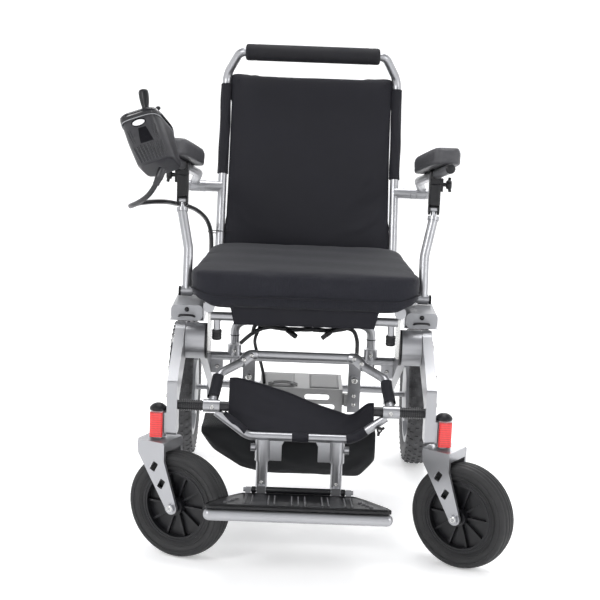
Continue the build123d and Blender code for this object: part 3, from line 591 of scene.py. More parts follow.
def cushion_shape(a, b, c):
    """Cushion narrower at the rear: rounded plan, crowned top, sides drawn in at the seam, nose dropped."""
    a, b = squared_round(a, b, 8)
    y = CUSHION_MIDDLE + CUSHION_HALF_LONG * b
    half = CUSHION_HALF_FRONT + (CUSHION_HALF_REAR - CUSHION_HALF_FRONT) * (b + 1) / 2
    rim = np.maximum(np.abs(a), np.abs(b))
    tuck = 3.0 * np.exp(-(((c - CUSHION_SEAM) / 0.16) ** 2)) * step(rim, 0.97, 1)
    nose = (1 - step(y, 108, 150)) * (1 - step(np.abs(a), 0.74, 1.0))
    low = CUSHION_LOW - (CUSHION_LOW - NOSE_LOW) * nose
    crown = 2.0 * (1 - a**2) * (1 - b**2) - 4.0 * np.abs(a) ** 8 - 1.5 * (1 - step(y, 96, 112))
    z = low + (c + 1) / 2 * (CUSHION_TOP + crown - low)
    ripple = 0.7 * np.sin(y / 17 + a * 2) * (c > 0.9) * (1 - rim**4)
    return np.stack([a * (half - tuck), y + tuck * np.sign(b) * (np.abs(b) > 0.97), z + ripple], -1)


def make_cushion():
    """The seat cushion, blown up a little, with a welt along its side seam."""
    part = padded_box((62, 54, 8), cushion_shape, (224, 190, 27))
    cushion = build("seat_pad", part, "mesh_cloth", None,
                    [("SMOOTH", {"factor": 0.5, "iterations": 7})])
    stuff(cushion, "front_frame", "seat_cushion", 3.0, 3.5)
    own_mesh(cushion)
    v = around(320)
    a, b = np.cos(v), np.sin(v)
    reach = np.maximum(np.abs(a), np.abs(b))
    a, b = a / reach, b / reach
    line = cushion_shape(a, b, np.full_like(a, CUSHION_SEAM))
    middle = np.array([0, 291, 0])
    line[:, :2] += unit((line - middle)[:, :2]) * 1.6
    welt = build("seat_pad_seam", tube(line, 1.5, 8, looped=True), "cloth", "front_frame")
    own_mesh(welt)


def make_seat_cloth():
    """Cloth over the rails and its front flap, hemmed, with a slow wave in the flap."""
    u = np.linspace(-1, 1, 61)
    x = 183 * u
    y = np.concatenate([np.linspace(460, 116, 40), np.full(3, 110.5), np.full(12, 110.0)])
    z = np.concatenate([np.full(40, 458.6), [457.8, 455, 452], np.linspace(447, 413.5, 12)])
    narrow = np.concatenate([np.ones(40), [1, 1, 0.97], np.linspace(0.78, 0.738, 12)])
    wave = 0.8 * np.sin(u * 9)[None] * step(450 - z, 0, 25)[:, None]
    points = np.stack([x[None] * narrow[:, None], y[:, None] + 0.9 + wave, z[:, None] + 0 * u[None]], -1)
    sling = build("seat_cloth", surface(points), "cloth", "front_frame",
                  [("SOLIDIFY", {"thickness": 0.0018, "offset": 0}), SUBDIVIDE])
    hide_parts("seat_sling")
    hem = points[-1] + (0, -0.4, 2)
    strip = build("seat_cloth_hem", tube(hem, 1.7, 8), "cloth", "front_frame")


make_cushion()
make_seat_cloth()


# Backrest cloth

BACK_FOOT = np.array([0, 504, 452.0])
BACK_RUN, BACK_RISE = 139, 419
BACK_ALONG = unit([0, BACK_RUN, BACK_RISE])
BACK_OUT = np.cross([1, 0, 0], BACK_ALONG)


def on_back(x, along, proud):
    """A place in the chair's frame from one across, up along the back tubes, and out towards the sitter."""
    return BACK_FOOT + x[..., None] * [1, 0, 0] + along[..., None] * BACK_ALONG + proud[..., None] * BACK_OUT


BACK_CREASES = [((150, 250), (95, 160), 7, 2.2), ((172, 190), (110, 130), 5, -2.0),
                ((168, 120), (96, 76), 5, -1.8),
                ((158, 205), (70, 130), 8, 2.4), ((165, 150), (110, 84), 7, 2.0),
                ((-165, 150), (-120, 92), 7, 1.6),
                ((-150, 110), (-60, 84), 8, 1.2), ((60, 84), (150, 112), 9, 1.6),
                ((-60, 330), (90, 318), 22, 1.0),
                ((-120, 222), (40, 214), 26, 0.9)]
BACK_HALF_WIDE, BACK_MIDDLE, BACK_HALF_LONG = 180.5, 246, 196
BACK_SEAM_X = 163.0


def back_shape(a, b, c):
    """Padded back: flat behind, crowned in front, drawn in at its side seams, slack in its lower corners."""
    a, b = squared_round(a, b, 34)
    x, along = BACK_HALF_WIDE * a, BACK_MIDDLE + BACK_HALF_LONG * b
    edge = (1 - np.abs(a) ** 7) * (1 - np.abs(b) ** 12)
    front = -1 + 13.0 * edge ** 0.55 + 1.6 * np.sin(along / 60 + 0.6) * edge
    for start, end, width, height in BACK_CREASES:
        front = front + height * crease(x, along, start, end, width)
    seam = 2.2 * np.exp(-(((np.abs(x) - BACK_SEAM_X) / 3.0) ** 2))
    proud = np.where(c > 0, -1 + (front + 1 - seam) * c, -1 + 4.5 * c * edge)
    return on_back(x, along, proud)


def make_back():
    """The back cloth with welts down its sides and stitching along its top and foot."""
    part = padded_box((70, 74, 4), back_shape, (177, 188, 8))
    cover = build("back_cloth", part, "cloth", None, [("SMOOTH", {"factor": 0.5, "iterations": 2})])
    stuff(cover, "backrest", "back_cover", 1.6, 2.6)
    parts = []
    for sign in SIDES.values():
        along = np.linspace(70, 431, 90)
        line = on_back(np.full(90, sign * BACK_SEAM_X), along, np.full(90, 7.0))
        parts.append(tube(line, 1.5, 8, up=(0, 1, 0)))
    for along in (72, 428):
        x = np.linspace(-160, 160, 60)
        parts.append(tube(on_back(x, np.full(60, float(along)), np.full(60, 5.0)), 0.9, 6))
    build("back_welts", join(*parts), "cloth", "backrest")


SLEEVE_LOW, SLEEVE_TOP, SLEEVE_R, TUBE_X = 655, 850, 11.9, 190.0


def make_sleeves():
    """Cloth sleeves round the back tubes, gathered in long folds and hemmed at their ends."""
    parts = []
    v = around(26)
    for sign in SIDES.values():
        height = np.linspace(SLEEVE_LOW, SLEEVE_TOP, 60)
        y = BACK_FOOT[1] + (height - BACK_FOOT[2]) * BACK_RUN / BACK_RISE
        path = np.stack([np.full(60, sign * TUBE_X), y, height], -1)
        run = height[:, None] / (SLEEVE_TOP - SLEEVE_LOW)
        folds = SLEEVE_R + 0.5 * np.sin(3 * v + 9 * run) + 0.45 * np.sin(5 * v - 14 * run + sign)
        cuff = 0.5 * np.exp(-(((height - SLEEVE_LOW) / 4) ** 2))
        cuff = cuff + 0.5 * np.exp(-(((height - SLEEVE_TOP) / 4) ** 2))
        parts.append(tube(path, folds + cuff[:, None], 26, up=(1, 0, 0)))
    sleeves = build("back_tube_sleeves", join(*parts), "cloth", "backrest", [SUBDIVIDE])
    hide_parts("back_sleeves")


GRIP_HALF, GRIP_Y, GRIP_Z, GRIP_CORE, GRIP_R = 148, 607.0, 922.0, 12, 18.6


def make_grip():
    """Foam grip on the push handle: rounded ends, a parting line and shallow rings near each end."""
    x = np.concatenate([[-148.1, -148], np.linspace(-147.5, -141, 6), np.linspace(-138, 138, 120),
                        np.linspace(141, 147.5, 6), [148, 148.1]])
    end = np.clip((GRIP_HALF - np.abs(x)) / 7, 0, 1)
    radius = GRIP_CORE + (GRIP_R - GRIP_CORE) * np.sqrt(1 - (1 - end) ** 2)
    radius[[0, -1]] = 9.6
    for ring in (128, 124):
        radius = radius - 0.5 * np.exp(-(((np.abs(x) - ring) / 1.2) ** 2))
    path = np.stack([x, np.full_like(x, GRIP_Y), np.full_like(x, GRIP_Z)], -1)
    v = around(36)
    rings = radius[:, None] + 0.35 * np.cos(2 * v) * end[:, None]
    foam = tube(path, rings, rings.shape[1], capped=False)
    grip = build("push_grip_foam", foam, "grip_foam", "backrest", [SUBDIVIDE])
    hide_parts("push_grip")


make_back()
make_sleeves()
make_grip()


# Leg sling and storage bag

SLING_TOP = [(-138, 100), (-130, 104), (-76, 93), (-22, 76), (20, 60), (60, 47), (94, 36), (110, 48),
             (122, 62),
             (136, 66), (138, 60)]
SLING_LOW = [(-138, 20), (-118, 8), (-100, 1), (-60, -1), (60, -1), (100, 1), (120, 6), (138, 12)]
SLING_FOOT, SLING_HALF = np.array([0, 10, 232]), 137.5
SLING_UP = np.array([0, 0.485, 0.875])
SLING_OUT = np.array([0, -0.875, 0.485])
SLING_FOLDS = [((-130, 96), (40, 20), 9, 3.0), ((-110, 60), (60, 8), 10, 2.4), ((-128, 40), (-30, 4), 8, 2.0),
               ((124, 60), (60, 6), 8, 2.2)]
INCLINE_WRAP = np.array([(165.4, 12, 293.5), (162.5, 30, 307.5), (158.4, 51, 324.2)])
CARRIER_WRAPS = [[(-15.5, 0, 226), (-5, 0, 226), (5, 0, 226), (15.5, 0, 226)],
                 [(86, 0, 226), (92, 0, 226.6), (100, 0, 229.4), (109, 0, 234.6), (122, 0, 243.6)],
                 [(-104, 1, 232.4), (-116, 1.5, 241.4), (-130, 2, 252), (-146, 3, 264)]]


def wrap(path, count, radius, ruck, spacing):
    """Cloth sleeve round a path: radius + ruck sin(3 v + row / spacing), left open at its ends."""
    folds = radius + ruck * np.sin(3 * around(22) + np.arange(count)[:, None] / spacing)
    return tube(smooth_path(path, count), folds, 22, capped=False)


def make_leg_sling():
    """Cloth strung between the inclined tubes and the carrier bar, slack on one side, hemmed on top."""
    x = np.linspace(-SLING_HALF, SLING_HALF, 90)
    top = np.interp(x, *np.transpose(SLING_TOP))
    low = np.interp(x, *np.transpose(SLING_LOW))
    top = np.convolve(np.pad(top, 3, mode="edge"), np.ones(7) / 7, "valid")
    v = np.linspace(0, 1, 36)[:, None]
    up = low + v * (top - low)
    slack = np.sin(math.pi * v) * (1 - (x / 138) ** 2)
    bulge = -6.0 * slack + 1.6 * np.sin(x / 16 + 3 * v) * v
    for start, end, width, height in SLING_FOLDS:
        bulge = bulge + height * crease(x + 0 * v, up, start, end, width)
    points = SLING_FOOT + (x + 0 * v)[..., None] * [1, 0, 0] + up[..., None] * SLING_UP
    points = points + np.clip(bulge, -7, 4)[..., None] * SLING_OUT
    cloth = build("leg_cloth", surface(points), "cloth", "front_frame",
                  [("SOLIDIFY", {"thickness": 0.0022, "offset": 0}), SUBDIVIDE])
    hem = tube(points[-1] + SLING_OUT * 1.2 - SLING_UP * 2, 2.2, 8)
    parts = [hem] + [wrap(INCLINE_WRAP * (sign, 1, 1), 26, 10.9, 0.6, 4) for sign in SIDES.values()]
    parts += [wrap(path, 22, 9.5, 0.5, 3) for path in CARRIER_WRAPS]
    sleeves = build("leg_cloth_sleeves", join(*parts), "cloth", "front_frame", [SUBDIVIDE])
    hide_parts("leg_sling")


BAG_FOOT = [(-188, 210), (-164, 177), (-110, 143), (-61, 132), (86, 127), (112, 131), (143, 166)]
BAG_FOLDS = [((-150, 200), (-96, 152), 6, -4), ((-120, 165), (-20, 150), 7, -4),
             ((-60, 190), (10, 150), 8, 3),
             ((60, 145), (134, 185), 7, -4), ((90, 140), (128, 170), 5, 3), ((-30, 150), (60, 140), 6, -3)]
BAG_TOP, BAG_LOWEST, BAG_X, BAG_Y, BAG_HALF_WIDE, BAG_HALF_DEEP = 221.0, 133, -22.5, 117.5, 164.5, 60


def bag_shape(a, b, c):
    """Slack bag: its foot follows a line of corners, its walls bow out between them and fold."""
    x = BAG_X + BAG_HALF_WIDE * a
    foot = np.interp(x, *np.transpose(BAG_FOOT))
    z = foot + (c + 1) / 2 * (BAG_TOP - foot)
    hang = np.sin(math.pi * np.clip((c + 1) / 2, 0, 1))
    y = BAG_Y + BAG_HALF_DEEP * b * (0.82 + 0.18 * hang)
    for start, end, width, height in BAG_FOLDS:
        y = y - np.sign(-b) * height * crease(x, z, start, end, width) * (np.abs(b) > 0.9)
    z = z + 1.5 * np.sin(x / 13) * (c < -0.9) * (1 - b**2)
    return np.stack([x, y, np.maximum(z, BAG_LOWEST)], -1)


def make_bag():
    """The slack storage bag under the seat, in a lighter copy of the nylon as a painted highlight."""
    part = padded_box((60, 20, 20), bag_shape, (165, 62, 42))
    bag = build("storage_bag_cloth", part, "bag_cloth_highlit", None,
                [("SMOOTH", {"factor": 0.5, "iterations": 3})])
    stuff(bag, "front_frame", "storage_bag", 1.2, 3.0, frames=12)


make_leg_sling()
make_bag()


# Armrest pads

TUBE_REAR, TUBE_FRONT = np.array([238, 498, 662.0]), np.array([268, 150, 723.6])
PAD_HALF = (134, 29, 17)


def make_arm_pad(side, sign):
    """Moulded pad: rounded plan, bevelled top edges, a shallow dish along its top and a parting groove."""
    flip = np.array([sign, 1, 1])
    along = unit(TUBE_FRONT - TUBE_REAR)
    across = unit(np.cross(along, (0, 0, 1)))
    up = np.cross(across, along)
    middle = TUBE_REAR + (TUBE_FRONT - TUBE_REAR) * 0.58 + up * 9.8

    def shape(a, b, c):
        """Each place of the pad: its half sizes times (a, b), drawn in near its top, foot and seam."""
        a, b = squared_round(a, b, 5)
        rim = np.maximum(np.abs(a), np.abs(b))
        height = PAD_HALF[2] * (1 + c)
        pull = 1 - 0.13 * step(height, 24, 34) - 0.07 * (1 - step(height, 0, 5))
        pull = pull - 0.03 * np.exp(-(((height - 11) / 2) ** 2))
        height = height - 2.2 * (1 - a**2) * (1 - b**2) * (c > 0.9) - 1.2 * rim**8 * (c > 0.9)
        local = np.stack([PAD_HALF[0] * a * (1 - (1 - pull) * 0.35), PAD_HALF[1] * b * pull, height], -1)
        return (middle + local @ np.array([along, across, up])) * flip

    part = padded_box((44, 16, 10), shape, PAD_HALF)
    pad = build(f"arm_rest_pad_{side}", part, "pad_foam", f"armrest_{side}",
                [("SMOOTH", {"factor": 0.5, "iterations": 2}), SUBDIVIDE])
    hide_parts(f"arm_pad_{side}")


for side, sign in SIDES.items():
    make_arm_pad(side, sign)


# Cords

CORD_ROUTE = [(-271, -14, 704), (-280, -19, 681), (-303, 2, 658), (-333, 46, 641), (-325, 106, 641),
              (-303, 174, 637), (-281, 246, 629), (-270, 318, 617), (-252, 392, 604), (-233, 462, 585),
              (-217, 518, 558), (-208.5, 539, 522), (-208.5, 525, 488)]
LEAD_ROUTE = [(-88, 308, 380), (-92, 311, 362), (-101, 314, 341), (-98, 330, 318), (-90, 352, 292),
              (-84, 368, 266), (-80, 374, 246), (-79, 374.5, 231.6)]
CORD_R, LEAD_R = 4.75, 3.5
HARNESS_ROUTE = [(-122, 304, 398), (-104, 302, 386), (-62, 298, 379), (-20, 302, 374), (18, 298, 378),
                 (60, 302, 374), (100, 300, 385), (120, 304, 396)]


def cord_curve(name, route, radius):
    """Smooth NURBS line through the pull of a route's points."""
    data = bpy.data.curves.new(name, "CURVE")
    data.dimensions = "3D"
    spline = data.splines.new("NURBS")
    spline.points.add(len(route) - 1)
    for point, place in zip(spline.points, route):
        point.co = (*(part * MM for part in place), 1)
    spline.order_u = 3
    spline.use_endpoint_u = True
    spline.resolution_u = 14
    data.bevel_depth = radius * MM
    data.bevel_resolution = 5
    data.use_fill_caps = True
    curve = bpy.data.objects.new(name, data)
    bpy.context.scene.collection.objects.link(curve)
    return curve


def line_of(curve):
    """The points in metres that the curve's own spline gives with no bevel."""
    depth = curve.data.bevel_depth
    curve.data.bevel_depth = 0
    graph = bpy.context.evaluated_depsgraph_get()
    mesh = bpy.data.meshes.new_from_object(curve.evaluated_get(graph))
    points = np.array([vertex.co for vertex in mesh.vertices])
    curve.data.bevel_depth = depth
    return points


def make_cord(name, line, radius):
    """One length of free cord, a mesh tube on a line in metres between the bodies at its ends, hung on
    neither.
    """
    jacket = build(name, tube(line / MM, radius, 16), "cord_black", None)
    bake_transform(jacket)
    return jacket


def cord_line(route, radius):
    """The smooth line in metres of a cord's own NURBS spline."""
    curve = cord_curve("cord_line", route, radius)
    line = line_of(curve)
    bpy.data.objects.remove(curve)
    return line


def make_leads():
    """The joystick's lead, in two lengths that meet behind the arm strut, and the controller's lead."""
    line = cord_line(CORD_ROUTE, CORD_R)
    meet = int(np.argmin(np.abs(line[:, 1] - 0.30) + (line[:, 2] < 0.6)))
    front = make_cord("joystick_lead", line[:meet + 1], CORD_R)
    rear = make_cord("joystick_lead_rear", line[meet:], CORD_R)
    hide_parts("joystick_cord")
    line = cord_line(LEAD_ROUTE, LEAD_R)
    cable = make_cord("controller_cable", line, LEAD_R)
    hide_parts("controller_lead")


make_leads()


HARNESS_TAILS = [[(-60, 299, 372), (-86, 302, 366), (-108, 308, 352), (-122, 316, 338), (-129, 322, 330)],
                 [(60, 299, 368), (84, 300, 374), (103, 303, 368), (111, 308, 350), (113, 318, 326),
                  (113, 330, 300)],
                 [(-78, 300, 372), (-88, 302, 379), (-100, 303, 372), (-104, 305, 358)]]


HARNESS_STEPS, HARNESS_DROP, STRANDS = 150, (0, 0, 8), 4


def make_harness():
    """Bundle under the seat: strands wound about the bundle's line, taped joints, plugs and three tails."""
    line = cord_line(HARNESS_ROUTE, 5) / MM
    line = smooth_path(line[::6], HARNESS_STEPS) - HARNESS_DROP
    ahead = unit(np.gradient(line, axis=0))
    across = unit(np.cross(ahead, (0, 0, 1)))
    above = np.cross(across, ahead)
    run = np.linspace(0, 1, HARNESS_STEPS)[:, None]
    parts = []
    for turn in np.arange(STRANDS) * math.pi / 2:
        twist = turn + run * 15
        strand = line + 2.5 * (np.cos(twist) * across + np.sin(twist) * above)
        parts.append(tube(strand, 2.7, 8, up=(0, 1, 0)))
    for share in (0.27, 0.62):
        at = int(share * HARNESS_STEPS)
        parts.append(tube(line[at - 5:at + 5], 5.4, 12, up=(0, 1, 0)))
    for x, lean in ((-24, 0.6), (48, -0.7)):
        body = np.array([math.cos(lean), 0, -math.sin(lean)])
        steps = np.array([-13, -12.5, -2, -1.5, 11, 13])[:, None]
        radius = np.array([3.6, 5.0, 5.0, 5.8, 5.6, 4.2])
        parts.append(tube(np.array([x, 290, 361]) + steps * body, radius, 10, up=(0, 1, 0)))
    for path in HARNESS_TAILS:
        parts.append(tube(smooth_path(path, 40), 4.2, 12, up=(0, 1, 0)))
    harness = build("harness_bundle", join(*parts), "cord_black", "front_frame")
    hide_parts("wiring_harness")


make_harness()


# Casters and drive wheels

STEM_X, STEM_Y, CASTER_R, TRAIL = 265, -10, 100.0, 50
CASTER_YAW = {"left": 26, "right": 35}
HALF_TREAD = [(70.2, -19), (84, -20.5), (92, -22.4), (96.5, -19), (97.6, -15.4), (96.0, -13.6), (95.8, -12.4),
              (98.6, -10.6), (99.4, -6.4), (97.2, -4.8), (97.2, -3.6), (99.8, -1.8)]
TREAD = HALF_TREAD + [(radius, -across) for radius, across in HALF_TREAD[::-1]]


def caster_axes(side, sign):
    """Wheel centre and the direction of its axle."""
    angle = math.radians(CASTER_YAW[side])
    trail = np.array([math.cos(angle), -math.sin(angle), 0])
    axle = np.array([math.sin(angle), math.cos(angle), 0])
    return np.array([sign * STEM_X, STEM_Y, CASTER_R]) + TRAIL * trail, axle


def make_caster(side, sign):
    """Caster tyre with its tread grooves, bead rings on its walls, the hub's caps and rim bead, and the
    axle's screw ends.
    """
    centre, axle = caster_axes(side, sign)
    parts = [turned(TREAD, centre, axle, 96, closed=True)]
    for face in (-1, 1):
        for radius, out in ((76, 19.8), (88, 21.6)):
            parts.append(turned_bead(centre + face * axle * out, axle, radius, 0.9))
    tyre = build(f"caster_tread_{side}", join(*parts), "tyre_black", f"caster_wheel_{side}")
    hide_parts(f"caster_tyre_{side}")
    caps = [turned([(0, 26), (7.5, 26), (8.6, 24.8), (9.2, 22), (9.2, 21), (0, 21)], centre, axle * face, 32)
            for face in (-1, 1)]
    caps += [turned_bead(centre + face * axle * 17.6, axle, 65, 1.6) for face in (-1, 1)]
    build(f"caster_hub_rings_{side}", join(*caps), "black_plastic", f"caster_wheel_{side}")
    bolts = [screw(centre + face * axle * 33, face * axle, 7.6, 6) for face in (-1, 1)]
    build(f"caster_axle_ends_{side}", join(*bolts), "steel", f"caster_fork_{side}")


def turned_bead(centre, axis, radius, thick):
    """Thin ring of round section about an axis."""
    v = around(10)
    profile = np.stack([radius + thick * np.cos(v), thick * np.sin(v)], -1)
    return turned(profile, centre, axis, 80, closed=True)


def screw(at, axis, radius, height):
    """Button-head screw: a domed head with a round socket in it."""
    profile = [(0, 0), (radius, 0), (radius, height * 0.25), (radius * 0.92, height * 0.6),
               (radius * 0.62, height),
               (radius * 0.42, height), (radius * 0.36, height * 0.4), (0, height * 0.4)]
    return turned(profile, at, axis, 20)


WHEEL_X, WHEEL_Y, WHEEL_R = 266, 604, 159
CARCASS = [(110, -22), (124, -26), (138, -27.5), (149, -24), (154.5, -16), (155.8, 0), (154.5, 16), (149, 24),
           (138, 27.5), (124, 26), (110, 22)]
BLOCKS, BLOCK_HALF_HIGH, CARCASS_STEPS = 48, 2.6, 90
BLOCK_ROWS = [(-17, 153.2, 8, 6.5, 0.5, -0.28), (-6, 155.0, 7, 7.5, 0.0, 0), (6, 155.0, 7, 7.5, 0.5, 0),
              (17, 153.2, 8, 6.5, 0.0, 0.28), (-24, 147.5, 4, 6.0, 0.25, -0.8),
              (24, 147.5, 4, 6.0, 0.75, 0.8)]


def make_drive_tyre(side, sign):
    """Drive tyre: a round carcass with four staggered rows of tread blocks and shoulder lugs."""
    centre = np.array([sign * WHEEL_X, WHEEL_Y, WHEEL_R], float)
    axis = np.array([1.0, 0, 0])
    parts = [turned(CARCASS, centre, axis, CARCASS_STEPS, closed=True)]
    block, faces, _ = box_lattice((1, 1, 1))
    for across, radius, wide, long, shift, lean in BLOCK_ROWS:
        turn = (np.arange(BLOCKS) + shift) * 2 * math.pi / BLOCKS
        out = np.stack([np.zeros(BLOCKS), np.cos(turn), np.sin(turn)], -1)
        ahead = np.stack([np.zeros(BLOCKS), -np.sin(turn), np.cos(turn)], -1)
        normal = out * math.cos(lean) + axis * math.sin(lean)
        side_way = axis * math.cos(lean) - out * math.sin(lean)
        taper = 1 - 0.14 * (block[:, 2] > 0)
        half = block * (wide / 2, long / 2, BLOCK_HALF_HIGH)
        half[:, :2] *= taper[:, None]
        places = (centre + axis * across + out[:, None] * radius + half[:, 0, None] * side_way[:, None]
                  + half[:, 1, None] * ahead[:, None] + half[:, 2, None] * normal[:, None])
        many = faces + (np.arange(BLOCKS) * len(block))[:, None, None]
        parts.append((places.reshape(-1, 3), many.reshape(-1, 4), np.zeros((many.size, 2))))
    tyre = build(f"drive_tread_{side}", join(*parts), "tyre_grey", f"rear_wheel_{side}",
                 outward=True)
    polygons = tyre.data.polygons
    polygons.foreach_set("use_smooth", np.arange(len(polygons)) < CARCASS_STEPS * len(CARCASS))
    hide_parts(f"rear_tyre_{side}")
    caps = []
    for turn in np.arange(8) * math.pi / 4:
        at = centre + sign * axis * 27 + 50 * np.array([0, math.cos(turn), math.sin(turn)])
        caps.append(screw(at, sign * axis, 4.2, 2.6))
    caps.append(turned([(0, 5), (9, 5), (12, 3), (13, 0), (0, 0)], centre + sign * axis * 28, sign * axis,
                       28))
    build(f"motor_cover_screws_{side}", join(*caps), "steel", f"rear_wheel_{side}")


for side, sign in SIDES.items():
    make_caster(side, sign)
    make_drive_tyre(side, sign)


# Joystick pod

POD_AXIS = unit([0.165, 0.92, -0.35])
POD_LEAN = np.array([-0.33, 0, 0.944])
POD_UP = unit(POD_LEAN - POD_AXIS * np.dot(POD_LEAN, POD_AXIS))
POD_ACROSS = np.cross(POD_AXIS, POD_UP)
POD_TOP = np.array([-309, -58, 822]) + POD_AXIS * 75
POD_POWER = 4.6
POD_HEIGHTS = [-76, -70, -40, 0]
POD_HALF_WIDE = [33.4, 34.6, 35.4, 36.0]
POD_HALF_LONG = [42.0, 46.0, 64.8, 75.2]
POD_SHIFT = [26.0, 24.0, 9.0, 0.0]


def on_pod(points):
    """Places in the chair's frame from the pod's own: across, to the rear, up from its top face."""
    return POD_TOP + points @ np.array([POD_ACROSS, POD_AXIS, POD_UP])


def pod_front(x, height, proud=0.0):
    """A place on the pod's front wall from x across and a height, proud of it."""
    wide = np.interp(height, POD_HEIGHTS, POD_HALF_WIDE)
    long = np.interp(height, POD_HEIGHTS, POD_HALF_LONG)
    shift = np.interp(height, POD_HEIGHTS, POD_SHIFT)
    bulge = (1 - np.minimum(np.abs(x / wide), 0.999) ** POD_POWER) ** (1 / POD_POWER)
    point = np.stack([x + 0 * height, shift - long * bulge, height + 0 * x], -1)
    return on_pod(point + np.multiply.outer(proud + 0 * x, (0, -0.93, -0.37)))


def pod_shape(a, b, c):
    """Pod body: rounded plan that narrows downwards, a step under its rim and a rounded foot."""
    a, b = squared_round(a, b, POD_POWER)
    height = -38 + 38 * c
    foot = 1 - 0.07 * step(-height, 69, 76) ** 2
    groove = 1 - 0.022 * np.exp(-(((height + 11) / 1.6) ** 2))
    size = foot * groove
    x = a * np.interp(height, POD_HEIGHTS, POD_HALF_WIDE) * size
    y = np.interp(height, POD_HEIGHTS, POD_SHIFT) + b * np.interp(height, POD_HEIGHTS, POD_HALF_LONG) * size
    return on_pod(np.stack([x, y, height], -1))


def pod_strip(x, low, high, lean, radius):
    """Raised rib on the front wall, from low to high, leaning across by so much at its foot."""
    height = np.linspace(low, high, 14)
    across = x * (1 - lean * (high - height) / (high - low))
    line = pod_front(across, height, 0.1)
    swell = radius * np.sin(np.linspace(0.25, math.pi - 0.25, 14)) ** 0.4
    return tube(line, swell, 8, up=POD_ACROSS)


def pod_patch(outline, proud):
    """Raised patch on the front wall: an outline of (x, height) filled towards its middle."""
    outline = np.asarray(outline, float)
    middle = outline.mean(0)
    share = np.array([1.0, 1.0, 0.93, 0.6, 0.3, 0.0])
    lift = np.array([-0.8, 0.6, 1.0, 1.0, 1.0, 1.0]) * proud
    flat = middle + share[:, None, None] * (outline - middle)
    return surface(pod_front(flat[..., 0], flat[..., 1], lift[:, None] + 0 * flat[..., 0]), loop_columns=True)


def oval(x, height, wide, high, count=40):
    """Outline of an ellipse."""
    v = around(count)
    return np.stack([x + wide * np.cos(v), height + high * np.sin(v)], -1)


def densify(corners, count=8):
    """An outline with points added evenly along its sides."""
    corners = np.asarray(corners, float)
    share = np.arange(count)[:, None] / count
    return np.concatenate([a + share * (b - a) for a, b in zip(corners, np.roll(corners, -1, 0))])


def make_pod():
    """The pod's shell with its ribs, window, plain badge, clamp arm, lead gland, rim band and light line."""
    body = padded_box((30, 46, 30), pod_shape, (35, 75, 42))
    ribs = [pod_strip(x, -73, -50, 0.12, 2.1) for x in np.arange(-26, 27, 6.5)]
    ribs += [pod_strip(x, -46, -24, 0.10, 1.1) for x in (-26, -21.5, 21.5, 26)]
    clamp_axis = unit((TUBE_FRONT - TUBE_REAR) * (-1, 1, 1))
    tip = TUBE_FRONT * (-1, 1, 1)
    clamp = turned([(9.8, 42), (14.2, 42), (15, 43), (15, 85), (14.2, 86), (9.8, 86)], tip, clamp_axis, 32,
                   closed=True)
    start = np.array(CORD_ROUTE[0], float)
    down = unit(np.array(CORD_ROUTE[1], float) - start)
    profile = [(4.9, 14), (5.9, 14), (6.2, 11), (5.6, 10), (6.6, 8), (6.0, 7), (7.0, 5), (6.4, 4), (7.4, 2),
               (7.6, 0),
               (7.6, -18), (4.9, -18)]
    gland = turned(profile, start, down, 24, closed=True)
    shell = build("pod_shell", join(body, *ribs, clamp, gland), "pod_plastic", "armrest_left",
                  [("BEVEL", {"width": 0.0006, "segments": 2, "limit_method": "ANGLE", "angle_limit": 0.9})])
    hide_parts("joystick_case")
    window = pod_patch(densify([(-10, -48), (14, -48), (9, -25.5), (-5, -25.5)]), 0.8)
    ring = pod_patch(oval(-1, -17, 13.5, 6.2), 0.8)
    build("pod_window", join(window, ring), "window_black", "armrest_left")
    badge = pod_patch(oval(-1, -17, 11.2, 4.4), 1.7)
    build("pod_badge", badge, "badge_white", "armrest_left")
    v = around(120)
    cosine, sine = np.cos(v), np.sin(v)
    power = 2 / POD_POWER
    plan = np.stack([np.sign(cosine) * np.abs(cosine) ** power, np.sign(sine) * np.abs(sine) ** power], -1)
    rows = [(-9.6, 0.1), (-9.2, 0.9), (-1.0, 1.2), (0.3, 0.6), (0.3, -2.5)]
    rim = np.array([POD_HALF_WIDE[-1], POD_HALF_LONG[-1]])
    band = [np.column_stack([plan * (rim + grow), np.full(120, height)]) for height, grow in rows]
    build("pod_rim_band", surface(on_pod(np.array(band)), loop_columns=True), "gloss_black", "armrest_left")
    groove = np.column_stack([plan * rim, np.full(120, -10.4)])
    build("pod_rim_line", tube(on_pod(groove), 0.7, 8, up=POD_UP, looped=True), "grey_plastic",
          "armrest_left")


def make_stick():
    """Rubber boot with three pleats, the stick's flared knob, the collar round it and the lever's paddle."""
    profile = [(0, -4), (16.5, -4), (16.8, 3), (16.2, 4.4), (14.0, 4.6), (13.6, 6.4), (12.6, 6.6),
               (11.2, 7.0), (10.8, 9.4),
               (9.4, 9.8), (8.2, 10.4), (7.6, 12.0), (6.6, 13.0), (6.2, 15), (6.3, 19), (6.8, 22), (7.7, 27),
               (8.4, 32), (8.9, 40), (8.9, 45.5), (8.4, 48.2), (7.2, 49.8), (5.6, 49.6), (5.0, 48.9),
               (0, 48.9)]
    base = on_pod(np.array([10.0, -38, 0]))
    knob = build("stick_knob", turned(profile, base, unit(POD_UP + (0.11, 0, 0)), 40), "black_plastic",
                 "joystick_stick")
    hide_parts("joystick_knob")
    collar = turned([(16.9, 2.8), (19.2, 2.8), (19.6, 3.6), (18.6, 4.8), (17.2, 4.6)], base, POD_UP, 48,
                    closed=True)
    build("stick_collar", collar, "gloss_black", "armrest_left")
    paddle = smooth_path(on_pod(np.array([(24, -8, 13), (26, -16, 14.5), (30, -25, 13.5),
                                          (34.5, -33, 10.5)])), 20)
    swell = np.interp(np.linspace(0, 1, 20), [0, 0.1, 0.7, 0.95, 1], [1.8, 2.8, 4.0, 3.4, 1.6])
    build("lever_paddle", tube(paddle, swell, 14), "black_plastic", "speed_lever")


